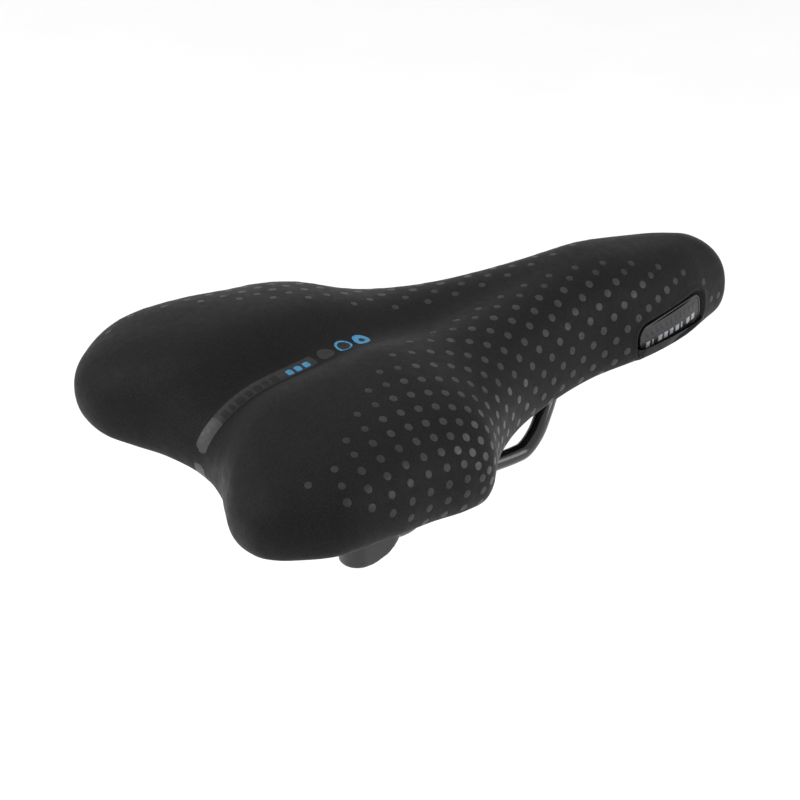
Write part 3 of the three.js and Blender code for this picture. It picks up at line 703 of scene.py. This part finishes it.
def dots_of_side(side):
    """Discs of one side as (vertices, faces, material index) lists."""
    made = []
    for q in range(DOT_FIRST_COLUMN, DOT_LAST_COLUMN + 1):
        for p in range(-8, 33):
            if (p + q) % 2:
                continue
            v = float(DOT_V(p) + DOT_LEAN(p) * q)
            if v < 12 or v > 262:
                continue
            curve = section_curve(CLAMP_V - v)
            if curve is None:
                continue
            arc, points = curve
            distance = float(DOT_AXIS(v) + DOT_PITCH(v) * q)
            if distance < 4 or distance > arc[-1] - 2.2:
                continue
            spot = np.array([np.interp(distance, arc, points[:, axis]) for axis in range(3)])
            if badge_distance(spot[1], spot[2]) < DOT_RADIUS + 1.6 and v > 200 and distance > 20:
                continue
            # Painted highlight: dots low on the wing, from the rear wing to the waist, take the
            # lighter ink. Dots at the top and rear edges of the pattern take the darkest ink, and
            # the top ones are smaller, where the print fades out.
            shade = 0 if q > 3 and -3 < p < 13 else 1 if q > -3 and p > -4 else 2
            size = DOT_RADIUS * (0.88 if q <= -3 else 1.0)
            verts, faces = dot_disc(Vector(spot), size, 0.05)
            made.append(([(side * c.x, c.y, c.z) for c in verts], faces, shade))
    return made


all_verts, all_faces, shades = [], [], []
for side in (1, -1):
    for verts, faces, shade in dots_of_side(side):
        start = len(all_verts)
        all_verts += verts
        all_faces += [tuple(start + k for k in face) for face in faces]
        shades += [shade] * len(faces)
dots = new_piece("cover_print", all_verts, all_faces, [INK_PAINTED_HIGHLIGHT, INK_MID, INK_FAINT])
for polygon, shade in zip(dots.data.polygons, shades):
    polygon.material_index = shade
put(dots, "seat", "cover")


# ---------- printed strip in the channel ----------
def channel_line(x):
    """The cover's lengthways section at x, from under the tail to the middle."""
    points = []
    for angle in np.radians(np.arange(-6, 150, 0.75)):
        direction = Vector((0, math.cos(angle), math.sin(angle)))
        hit = outer_tree.ray_cast(Vector((x, CLAMP_V - 72, 34)), direction)[0]
        if hit is not None:
            points.append(hit)
    points = np.array(points)
    arc = np.concatenate([[0], np.cumsum(np.linalg.norm(np.diff(points, axis=0), axis=1))])
    return arc, points


STRIP_COLUMNS = np.linspace(-4.2, 4.2, 43)
strip_lines = [channel_line(x) for x in STRIP_COLUMNS]


def strip_spot(x, distance, rise):
    """A point of the strip: x across, distance forwards along the middle line."""
    place = (x - STRIP_COLUMNS[0]) / (STRIP_COLUMNS[1] - STRIP_COLUMNS[0])
    k = int(np.clip(math.floor(place), 0, len(strip_lines) - 2))
    spots = []
    for arc, points in strip_lines[k:k + 2]:
        spots.append([np.interp(distance, arc, points[:, axis]) for axis in range(3)])
    mix = np.array(spots[0]) * (1 - (place - k)) + np.array(spots[1]) * (place - k)
    return settle(mix, rise)[0]


def strip_patch(x0, x1, d0, d1, rise, corner=0.0):
    """A rounded rectangle of print on the channel floor."""
    columns = max(int((x1 - x0) / 0.35), 2)
    rows = max(int((d1 - d0) / 0.5), 2)
    verts = []
    for j in range(rows + 1):
        d = d0 + (d1 - d0) * j / rows
        near_end = min(d - d0, d1 - d)
        pull = 0.0
        if near_end < corner:
            pull = corner - math.sqrt(max(corner**2 - (corner - near_end) ** 2, 0))
        for i in range(columns + 1):
            x = (x0 + pull) + (x1 - x0 - 2 * pull) * i / columns
            verts.append(strip_spot(x, d, rise))
    faces = []
    for j in range(rows):
        for i in range(columns):
            a = j * (columns + 1) + i
            faces.append((a, a + 1, a + columns + 2, a + columns + 1))
    return verts, faces


# The real strip carries writing. Plain bars, dots and a ring of the same size stand in for it.
STRIP_HALF = 3.6
STRIP_START = 0.6
STRIP_FADE = 27.0
STRIP_END = 73.0
BAR_HALF = 1.9
BAR_START = 29.0
BAR_GAP = 1.2
BLUE_BAR = 2.6
DOT_HALF = 3.8
DOT_LENGTH = 6.4
BASE_RISE, BAR_RISE, TOP_RISE = 0.1, 0.14, 0.17
GREY, DARK, BLUE, FAINT = range(4)
strip_parts = [
    (strip_patch(-STRIP_HALF, STRIP_HALF, STRIP_START, STRIP_FADE, BASE_RISE), GREY),
    (strip_patch(-STRIP_HALF, STRIP_HALF, STRIP_FADE, STRIP_END, BASE_RISE, 0.6), FAINT),
]
bar_start = BAR_START
for bar_length in (3.0, 2.0, 3.6, 2.6, 3.0, 2.4, 3.2):
    bar = strip_patch(-BAR_HALF, BAR_HALF, bar_start, bar_start + bar_length, BAR_RISE, 0.5)
    strip_parts.append((bar, DARK))
    bar_start += bar_length + BAR_GAP
for start in (60.0, 63.8, 67.6):
    bar = strip_patch(-BAR_HALF, BAR_HALF, start, start + BLUE_BAR, BAR_RISE, 0.6)
    strip_parts.append((bar, BLUE))
for start, shade in ((75.0, FAINT), (83.2, BLUE), (91.4, BLUE)):
    dot = strip_patch(-DOT_HALF, DOT_HALF, start, start + DOT_LENGTH, 0.12, 3.2)
    strip_parts.append((dot, shade))
strip_parts.append((strip_patch(-2.9, 2.9, 84.1, 88.7, TOP_RISE, 2.3), DARK))
strip_parts.append((strip_patch(-1.4, 1.4, 93.4, 95.8, TOP_RISE, 1.0), DARK))
all_verts, all_faces, shades = [], [], []
for (verts, faces), shade in strip_parts:
    start = len(all_verts)
    all_verts += [tuple(v) for v in verts]
    all_faces += [tuple(start + k for k in face) for face in faces]
    shades += [shade] * len(faces)
inks = [STRIP_GREY, STRIP_DARK, STRIP_BLUE, STRIP_FAINT]
strip = new_piece("channel_strip", all_verts, all_faces, inks)
for polygon, shade in zip(strip.data.polygons, shades):
    polygon.material_index = shade
put(strip, "seat", "cover")


# ---------- foam and gel under the cover ----------
def closed_sheet(upper, lower):
    """A closed solid between two stacks of rows that meet at their last rows."""
    top_verts, top_faces = ring_mesh(upper)
    low_verts, low_faces = ring_mesh(lower)
    start = len(top_verts)
    faces = list(top_faces) + [tuple(start + k for k in reversed(f)) for f in low_faces]
    verts = np.concatenate([top_verts, low_verts])
    piece_mesh = bpy.data.meshes.new("sheet")
    piece_mesh.from_pydata([tuple(v) for v in verts], [], faces)
    bm = bmesh.new()
    bm.from_mesh(piece_mesh)
    bmesh.ops.remove_doubles(bm, verts=bm.verts, dist=0.02)
    bmesh.ops.recalc_face_normals(bm, faces=bm.faces)
    bm.to_mesh(piece_mesh)
    bm.free()
    out = np.array([v.co[:] for v in piece_mesh.vertices])
    out_faces = [tuple(p.vertices) for p in piece_mesh.polygons]
    bpy.data.meshes.remove(piece_mesh)
    return out, out_faces


def lowered_rows(s, rows, depth):
    """Cover rows moved inwards by depth, near enough for a pad under the skin."""
    x, v = rim_at(s)
    nx, nv = rim_normal(s)
    ex, ev = np.maximum(x - nx * depth, 0), v - nv * depth
    h = rim_height(s)
    made = []
    for t in rows:
        row = dome(s, t, ex, ev, h, crown, channel_depth)
        row[..., 2] -= depth * math.sqrt(max(1 - t**3, 0))
        made.append(row)
    return made


def shell_rows(s, rows, extra):
    edge_x, edge_v = inset_point(s, shell_inset(s) - extra)
    top = rim_height(s) - skirt_drop(s) + SKIN + 2 * GAP + SHELL_LIP
    made = []
    for t in rows:
        row = dome(s, t, edge_x, edge_v, top, shell_crown, shell_channel)
        row[..., 2] += extra
        made.append(row)
    return made


pad_stations = np.linspace(0, 1, 121)
pad_rows = crowded(30, 2.2)
PAD_DEPTH = SKIN + GAP + 0.3
pad_upper = lowered_rows(pad_stations, pad_rows, PAD_DEPTH)
pad_upper += [wall_row(pad_stations, angle, PAD_DEPTH) for angle in (25, 50, 62)]
pad_lower = shell_rows(pad_stations, pad_rows, 0.5)
pad_lower += [wall_row(pad_stations, 64, PAD_DEPTH + 1.2), wall_row(pad_stations, 62, PAD_DEPTH)]
foam_verts, foam_faces = closed_sheet(pad_upper, pad_lower)
# The foam has a hollow behind each badge pocket.
HOLLOW_DEPTH = 2.6
HOLLOW_START = 1.2
HOLLOW_REACH = 4.0
foam_near = badge_distance(foam_verts[:, 1], foam_verts[:, 2])
for k in np.nonzero((foam_near < HOLLOW_REACH) & (foam_verts[:, 1] < CLAMP_V - NOSE_V))[0]:
    depth = outer_tree.find_nearest(Vector(foam_verts[k]))[3]
    if depth < PAD_DEPTH + 0.6:
        share = (foam_near[k] - HOLLOW_START) / (HOLLOW_REACH - HOLLOW_START)
        hollow = HOLLOW_DEPTH * (1 - smoothstep(share))
        foam_verts[k, 0] -= math.copysign(hollow, foam_verts[k, 0])
foam = new_piece("foam_core", foam_verts, foam_faces, [FOAM])
put(foam, "seat", "foam", "foam_pad")

for side, label in ((1, "left"), (-1, "right")):
    low, high = (np.array(c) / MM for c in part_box(f"gel_pad_{label}"))
    centre = (low + high) / 2
    half = (high - low) / 2
    verts = []
    COLUMNS, ROWS = 36, 28
    for layer, depth in ((0, SKIN + GAP + 0.9), (1, SKIN + GAP + 5.2)):
        for j in range(ROWS + 1):
            for i in range(COLUMNS + 1):
                a = 2 * i / COLUMNS - 1
                b = 2 * j / ROWS - 1
                swell = 1 - max(abs(a), abs(b)) ** 6 * 0.12
                x = abs(centre[0]) + half[0] * 0.74 * b * math.sqrt(1 - 0.3 * a * a) * swell
                y = centre[1] + half[1] * 0.74 * a * math.sqrt(1 - 0.3 * b * b) * swell
                edge = (1 - abs(a) ** 4) * (1 - abs(b) ** 4)
                hit = outer_tree.ray_cast(Vector((x, y, 120)), Vector((0, 0, -1)))
                middle = SKIN + GAP + 3.05
                sunk = middle + (depth - middle) * math.sqrt(max(edge, 0))
                spot = hit[0] + (hit[1] if hit[1].z < 0 else -hit[1]) * sunk
                verts.append((side * spot.x, spot.y, spot.z))
    faces = []
    size = (COLUMNS + 1) * (ROWS + 1)
    for layer in range(2):
        for j in range(ROWS):
            for i in range(COLUMNS):
                k = layer * size + j * (COLUMNS + 1) + i
                quad = (k, k + 1, k + COLUMNS + 2, k + COLUMNS + 1)
                faces.append(quad if layer == 0 else quad[::-1])
    gel = new_piece(f"gel_insert_{label}", verts, faces, [GEL])
    bm = bmesh.new()
    bm.from_mesh(gel.data)
    bmesh.ops.remove_doubles(bm, verts=bm.verts, dist=2e-5)
    bmesh.ops.recalc_face_normals(bm, faces=bm.faces)
    bm.to_mesh(gel.data)
    bm.free()
    put(gel, "seat", "gel", f"gel_pad_{label}")


# ---------- nose badges ----------
def badge_outline(shrink, steps=10):
    """Rounded-rectangle outline as (along, up) points, shrunk by that much."""
    w = BADGE_LENGTH / 2 - BADGE_CORNER
    h = BADGE_HEIGHT / 2 - BADGE_CORNER
    r = BADGE_CORNER - shrink
    points = []
    for corner, (sa, sb) in enumerate(((1, 1), (-1, 1), (-1, -1), (1, -1))):
        for k in range(steps + 1):
            angle = math.pi / 2 * (corner + k / steps)
            points.append((sa * w + r * math.cos(angle), sb * h + r * math.sin(angle)))
    return points


def badge_spot(a, b, rise):
    """A point over the badge: a forwards, b up, rise millimetres off the cover's own surface."""
    dv = a * math.cos(BADGE_TILT) - b * math.sin(BADGE_TILT)
    dh = a * math.sin(BADGE_TILT) + b * math.cos(BADGE_TILT)
    start = Vector((60, CLAMP_V - (BADGE_V + dv), BADGE_H + dh))
    place, normal, _, _ = outer_tree.ray_cast(start, Vector((-1, 0, 0)))
    if normal.x < 0:
        normal = -normal
    return place + normal * rise


def badge_block(outline_shrinks, rises):
    """A plate's rim built from nested outlines, open in the middle."""
    verts = []
    rings = [badge_outline(shrink) for shrink in outline_shrinks]
    for ring, rise in zip(rings, rises):
        verts += [badge_spot(a, b, rise) for a, b in ring]
    count = len(rings[0])
    faces = []
    for ring in range(len(rings) - 1):
        for k in range(count):
            a = ring * count + k
            b = ring * count + (k + 1) % count
            faces.append((a, b, b + count, a + count))
    return verts, faces, count


def badge_field(shrink, rise):
    """The plate's flat middle as a grid that follows the nose's curve."""
    verts = []
    w = BADGE_LENGTH / 2 - shrink
    h = BADGE_HEIGHT / 2 - shrink
    corner = max(BADGE_CORNER - shrink, 0.05)
    columns, rows = 60, 14
    for i in range(columns + 1):
        a = -w + 2 * w * i / columns
        near_end = w - abs(a)
        pull = 0.0
        if near_end < corner:
            pull = corner - math.sqrt(max(corner**2 - (corner - near_end) ** 2, 0))
        for j in range(rows + 1):
            b = (-h + pull) + 2 * (h - pull) * j / rows
            verts.append(badge_spot(a, b, rise))
    faces = []
    for i in range(columns):
        for j in range(rows):
            k = i * (rows + 1) + j
            faces.append((k, k + rows + 1, k + rows + 2, k + 1))
    return verts, faces


def badge_bar(a0, a1, b0, b1, low, high):
    """A small raised bar on the badge with chamfered edges."""
    verts = []
    inset = min(0.22, (b1 - b0) * 0.3)
    steps = max(int((a1 - a0) / 1.5), 1)
    for i in range(steps + 1):
        a = a0 + (a1 - a0) * i / steps
        shift = inset if i == 0 else -inset if i == steps else 0
        verts += [badge_spot(a, b0, low), badge_spot(a + shift, b0 + inset, high)]
        verts += [badge_spot(a + shift, b1 - inset, high), badge_spot(a, b1, low)]
    faces = []
    for i in range(steps):
        k = 4 * i
        for j in range(3):
            faces.append((k + j, k + j + 1, k + j + 5, k + j + 4))
    faces += [(0, 1, 2, 3), tuple(4 * steps + j for j in (3, 2, 1, 0))]
    return verts, faces


for side, label in ((1, "left"), (-1, "right")):
    parts = []
    edge_verts, edge_faces, _ = badge_block(
        [0.0, 0.0, 0.12, 0.45, 0.75, 0.9], [-3.1, -0.95, -0.68, -0.52, -0.6, -0.95],
    )
    parts.append((edge_verts, edge_faces, 1))
    field_verts, field_faces = badge_field(0.88, -0.85)
    parts.append((field_verts, field_faces, 0))
    for k, bar_length in enumerate((2.4, 1.0, 2.6, 2.4, 2.2, 2.4, 1.0, 2.4, 2.4)):
        a = -15.6 + 3.5 * k
        parts.append((*badge_bar(a, a + bar_length, -4.2, -1.2, -0.9, -0.66), 2))
    for k in range(11):
        a = -15.4 + 2.9 * k
        parts.append((*badge_bar(a, a + 1.7, 1.2, 3.8, -0.9, -0.7), 0))
    all_verts, all_faces, shades = [], [], []
    for verts, faces, shade in parts:
        start = len(all_verts)
        all_verts += [(side * v[0], v[1], v[2]) for v in verts]
        all_faces += [tuple(start + k for k in face) for face in faces]
        shades += [shade] * len(faces)
    badge = new_piece(
        f"badge_plate_{label}", all_verts, all_faces,
        [BADGE_PLASTIC, BADGE_EDGE, STRIP_PALE], flat_angle=50,
    )
    for polygon, shade in zip(badge.data.polygons, shades):
        polygon.material_index = shade
    fix_normals(badge)
    put(badge, "seat", "badge", f"badge_{label}")


# ---------- rail ----------
def centripetal(points, steps):
    """Centripetal Catmull-Rom curve through points, as the CAD part sweeps its rail."""
    pts = np.array(points, float)
    first = 2 * pts[0] - pts[1]
    last = 2 * pts[-1] - pts[-2]
    pts = np.concatenate([[first], pts, [last]])
    made = []
    for i in range(1, len(pts) - 2):
        p = pts[i - 1:i + 3]
        t = np.sqrt(np.linalg.norm(np.diff(p, axis=0), axis=1))
        t[t < 1e-6] = 1.0
        m1 = (p[1] - p[0]) / t[0] - (p[2] - p[0]) / (t[0] + t[1]) + (p[2] - p[1]) / t[1]
        m2 = (p[2] - p[1]) / t[1] - (p[3] - p[1]) / (t[1] + t[2]) + (p[3] - p[2]) / t[2]
        m1, m2 = m1 * t[1], m2 * t[1]
        for k in range(steps):
            u = k / steps
            made.append(
                (2 * u**3 - 3 * u**2 + 1) * p[1] + (u**3 - 2 * u**2 + u) * m1
                + (3 * u**2 - 2 * u**3) * p[2] + (u**3 - u**2) * m2
            )
    made.append(pts[-2])
    return np.array(made)


def tube(path, radius, sides=32):
    """A round bar along path, with a small chamfer at each end."""
    tangents = np.gradient(path, axis=0)
    tangents /= np.linalg.norm(tangents, axis=1)[:, None]
    side = np.cross(tangents[0], [0, 0, 1])
    side /= np.linalg.norm(side)
    verts = []
    for i, (centre, along) in enumerate(zip(path, tangents)):
        side = side - along * side.dot(along)
        side /= np.linalg.norm(side)
        up = np.cross(side, along)
        reach = radius - 0.6 if i in (0, len(path) - 1) else radius
        for k in range(sides):
            a = 2 * math.pi * k / sides
            verts.append(centre + (side * math.cos(a) + up * math.sin(a)) * reach)
    faces = []
    for i in range(len(path) - 1):
        for k in range(sides):
            a = i * sides + k
            b = i * sides + (k + 1) % sides
            faces.append((a, b, b + sides, a + sides))
    faces.append(tuple(range(sides))[::-1])
    faces.append(tuple((len(path) - 1) * sides + k for k in range(sides)))
    return verts, faces


loop_turn = []
for angle in (30, 60, 90):
    a = math.radians(angle)
    loop_turn.append((
        LOOP_HALF + LOOP_BEND * math.cos(a), PIVOT_V - LOOP_BEND + LOOP_BEND * math.sin(a), PIVOT_H,
    ))
half_path = RAIL_SIDE + loop_turn
mirrored_path = [(-x, v, h) for x, v, h in reversed(half_path)]
rail_path = centripetal([(x, CLAMP_V - v, h) for x, v, h in half_path + mirrored_path], 6)
rail_path = np.insert(rail_path, 1, rail_path[0] + (rail_path[1] - rail_path[0]) * 0.12, axis=0)
rail_path = np.insert(rail_path, -1, rail_path[-1] + (rail_path[-2] - rail_path[-1]) * 0.12, axis=0)
rail_verts, rail_faces = tube(rail_path, RAIL_RADIUS)
rail = new_piece("rail_bar", rail_verts, rail_faces, [ENAMEL], flat_angle=40)
fix_normals(rail)
put(rail, "rail_frame", "rail", "rail_wire")


# ---------- rear carriers, rounded from the CAD solids ----------
def rounded_copy(name, node, voxel_mm, rounds):
    """A copy of a CAD solid with softly rounded edges, as it would leave a mould."""
    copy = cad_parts[node].data.copy()
    copy.name = name
    piece = bpy.data.objects.new(name, copy)
    bpy.context.scene.collection.objects.link(piece)
    remesh = piece.modifiers.new("voxels", "REMESH")
    remesh.mode = "VOXEL"
    remesh.voxel_size = voxel_mm * MM
    smooth = piece.modifiers.new("smooth", "CORRECTIVE_SMOOTH")
    smooth.iterations = rounds
    smooth.use_only_smooth = True
    depsgraph = bpy.context.evaluated_depsgraph_get()
    mesh = bpy.data.meshes.new_from_object(piece.evaluated_get(depsgraph))
    piece.modifiers.clear()
    piece.data = mesh
    for polygon in mesh.polygons:
        polygon.use_smooth = True
    return piece


for side, label in ((1, "left"), (-1, "right")):
    carrier = rounded_copy(f"rail_carrier_{label}", f"rear_carrier_{label}", 0.45, 8)
    carrier.data.materials.clear()
    carrier.data.materials.append(CARRIER_PLASTIC)
    put(carrier, "rail_frame", "carrier", f"rear_carrier_{label}")

    # Elastomer spring: a waisted rubber ring with soft lips.
    low, high = CARRIER_TOP + GAP, BOSS_BOTTOM - GAP
    mid = (low + high) / 2
    lip = SPRING_RADIUS - 1.2
    rings = [(BOLT_HOLE, low + 0.4), (BOLT_HOLE + 0.4, low), (lip, low), (lip + 0.7, low + 0.5)]
    for k in range(17):
        u = k / 16
        h = low + 1.4 + (high - low - 2.8) * u
        waist = 1.4 * math.exp(-((h - mid) / 1.6) ** 2)
        rings.append((SPRING_RADIUS - 0.2 - waist - 0.2 * math.cos(2 * math.pi * u), h))
    rings += [(lip + 0.7, high - 0.5), (lip, high), (BOLT_HOLE + 0.4, high), (BOLT_HOLE, high - 0.4)]
    rings.append(rings[0])
    verts, faces = lathe(rings, side * BOLT_X, BOLT_V, 96)
    elastomer = new_piece(f"elastomer_spring_{label}", verts, faces, [RUBBER], flat_angle=60)
    fix_normals(elastomer)
    put(elastomer, "rail_frame", "elastomer", f"elastomer_{label}")
    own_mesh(elastomer)

nose_cap = rounded_copy("pivot_cap", "nose_cap", 0.3, 6)
nose_cap.data.materials.clear()
nose_cap.data.materials.append(SHELL_PLASTIC)
put(nose_cap, "seat", "shell", "nose_cap")

bush_rings = [
    (RAIL_RADIUS + GAP, -LOOP_HALF + 0.3), (RAIL_RADIUS + GAP + 0.3, -LOOP_HALF),
    (BUSH_RADIUS - 0.5, -LOOP_HALF), (BUSH_RADIUS, -LOOP_HALF + 0.5),
    (BUSH_RADIUS, -LOOP_HALF + 1.6), (BUSH_RADIUS - 0.35, -LOOP_HALF + 2.1),
    (BUSH_RADIUS - 0.35, LOOP_HALF - 2.1), (BUSH_RADIUS, LOOP_HALF - 1.6),
    (BUSH_RADIUS, LOOP_HALF - 0.5), (BUSH_RADIUS - 0.5, LOOP_HALF),
    (RAIL_RADIUS + GAP + 0.3, LOOP_HALF), (RAIL_RADIUS + GAP, LOOP_HALF - 0.3),
]
verts, faces = lathe(bush_rings + bush_rings[:1], 0, PIVOT_V, 48, sideways=True)
verts = verts + np.array([0, 0, PIVOT_H])
bush = new_piece("pivot_bush", verts, faces, [BUSH], flat_angle=50)
fix_normals(bush)
put(bush, "rail_frame", "bush", "nose_bush")


# ---------- screws and washers ----------
def screw(name, x, v, head_radius, head_low, head_high, shank_radius, shank_high, key, node):
    """Socket-head screw, head down: chamfers, hexagon recess and rolled thread ridges."""
    recess = head_low + (head_high - head_low) * 0.6
    rings = [
        (0.02, recess), (hexagon(key * 0.86), recess), (hexagon(key * 0.86), head_low + 0.2),
        (hexagon(key * 0.95), head_low), (head_radius - 0.5, head_low),
        (head_radius, head_low + 0.5), (head_radius, head_high - 0.25),
        (head_radius - 0.25, head_high), (shank_radius + 0.2, head_high),
        (shank_radius, head_high + 0.2),
    ]
    pitch = 0.8 if shank_radius < 2.5 else 1.0
    h = head_high + (shank_high - head_high) * 0.45
    while h < shank_high - 1.2:
        rings += [(shank_radius, h), (shank_radius - 0.28, h + pitch / 2)]
        h += pitch
    rings += [(shank_radius, h), (shank_radius - 0.5, shank_high), (0.02, shank_high)]
    verts, faces = lathe(rings, x, v, 60)
    piece = new_piece(name, verts, faces, [ZINC], flat_angle=32)
    fix_normals(piece)
    return put(piece, "seat", "zinc", node)


for end, label in ((1, "front"), (-1, "rear")):
    screw(
        f"cap_screw_{label}", 0, PIVOT_V + end * NOSE_SCREW_REACH, 3.5, CAP_BOTTOM + 0.4,
        CAP_BOTTOM + 2.7, 1.9, PIVOT_H + 6.6, 1.7, f"nose_screw_{label}",
    )
for side, label in ((1, "left"), (-1, "right")):
    head_top = SHOULDER_H - 1.8
    screw(
        f"spring_bolt_{label}", side * BOLT_X, BOLT_V, 4.1, head_top - 3, head_top, BOLT_RADIUS,
        BOSS_BOTTOM + INSERT_LENGTH, 2, f"elastomer_bolt_{label}",
    )
    low, high = SHOULDER_H - 1.5, SHOULDER_H - GAP
    washer_rings = [
        (2.8, low + 0.15), (3.0, low), (4.2, low), (4.4, low + 0.2),
        (4.4, high - 0.2), (4.2, high), (3.0, high), (2.8, high - 0.15),
    ]
    verts, faces = lathe(washer_rings + washer_rings[:1], side * BOLT_X, BOLT_V, 72)
    washer = new_piece(f"washer_{label}", verts, faces, [ZINC], flat_angle=30)
    fix_normals(washer)
    put(washer, "seat", "zinc", f"bolt_washer_{label}")

# ---------- CAD nodes that keep their shape ----------
kept = {"base_shell": SHELL_PLASTIC}
for label in ("front", "rear"):
    kept[f"nose_insert_{label}"] = BRASS
for label in ("left", "right"):
    kept[f"boss_insert_{label}"] = BRASS
for node, material in kept.items():
    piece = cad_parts[node]
    for slot_used in piece.material_slots:
        slot_used.material = material

# ---------- floor and light ----------
FLOOR_H = -0.24


def floor_material():
    m = Shader("studio_floor", (0.94, 0.94, 0.94), 0.9, specular=0.1)
    m.color_from(m.noise(14.0, 3.0), [(0.3, (0.93, 0.93, 0.93)), (0.7, (0.95, 0.95, 0.95))])
    return m.material


floor_mesh = bpy.data.meshes.new("studio_floor")
reach = 9.0
corners = [(-reach, -reach), (reach, -reach), (reach, reach), (-reach, reach)]
floor_mesh.from_pydata([(x, y, FLOOR_H) for x, y in corners], [], [(0, 1, 2, 3)])
floor_mesh.materials.append(floor_material())
floor = bpy.data.objects.new("studio_floor", floor_mesh)
bpy.context.scene.collection.objects.link(floor)


def softbox(name, place, size, power, aim=(0, 0, 0.04)):
    data = bpy.data.lights.new(name, "AREA")
    data.shape = "RECTANGLE"
    data.size, data.size_y = size
    data.energy = power
    lamp = bpy.data.objects.new(name, data)
    lamp.location = place
    direction = Vector(place) - Vector(aim)
    lamp.rotation_euler = direction.to_track_quat("Z", "Y").to_euler()
    bpy.context.scene.collection.objects.link(lamp)


softbox("key_behind", (0.5, 1.3, 0.8), (1.1, 0.9), 12)
softbox("fill_front_right", (-1.3, -1.1, 0.6), (1.0, 1.0), 11)
softbox("top", (0.0, 0.3, 1.6), (1.4, 1.4), 5)

world = bpy.data.worlds.new("studio_world")
world.use_nodes = True
world.node_tree.nodes["Background"].inputs["Color"].default_value = (1, 1, 1, 1)
world.node_tree.nodes["Background"].inputs["Strength"].default_value = 0.8
bpy.context.scene.world = world
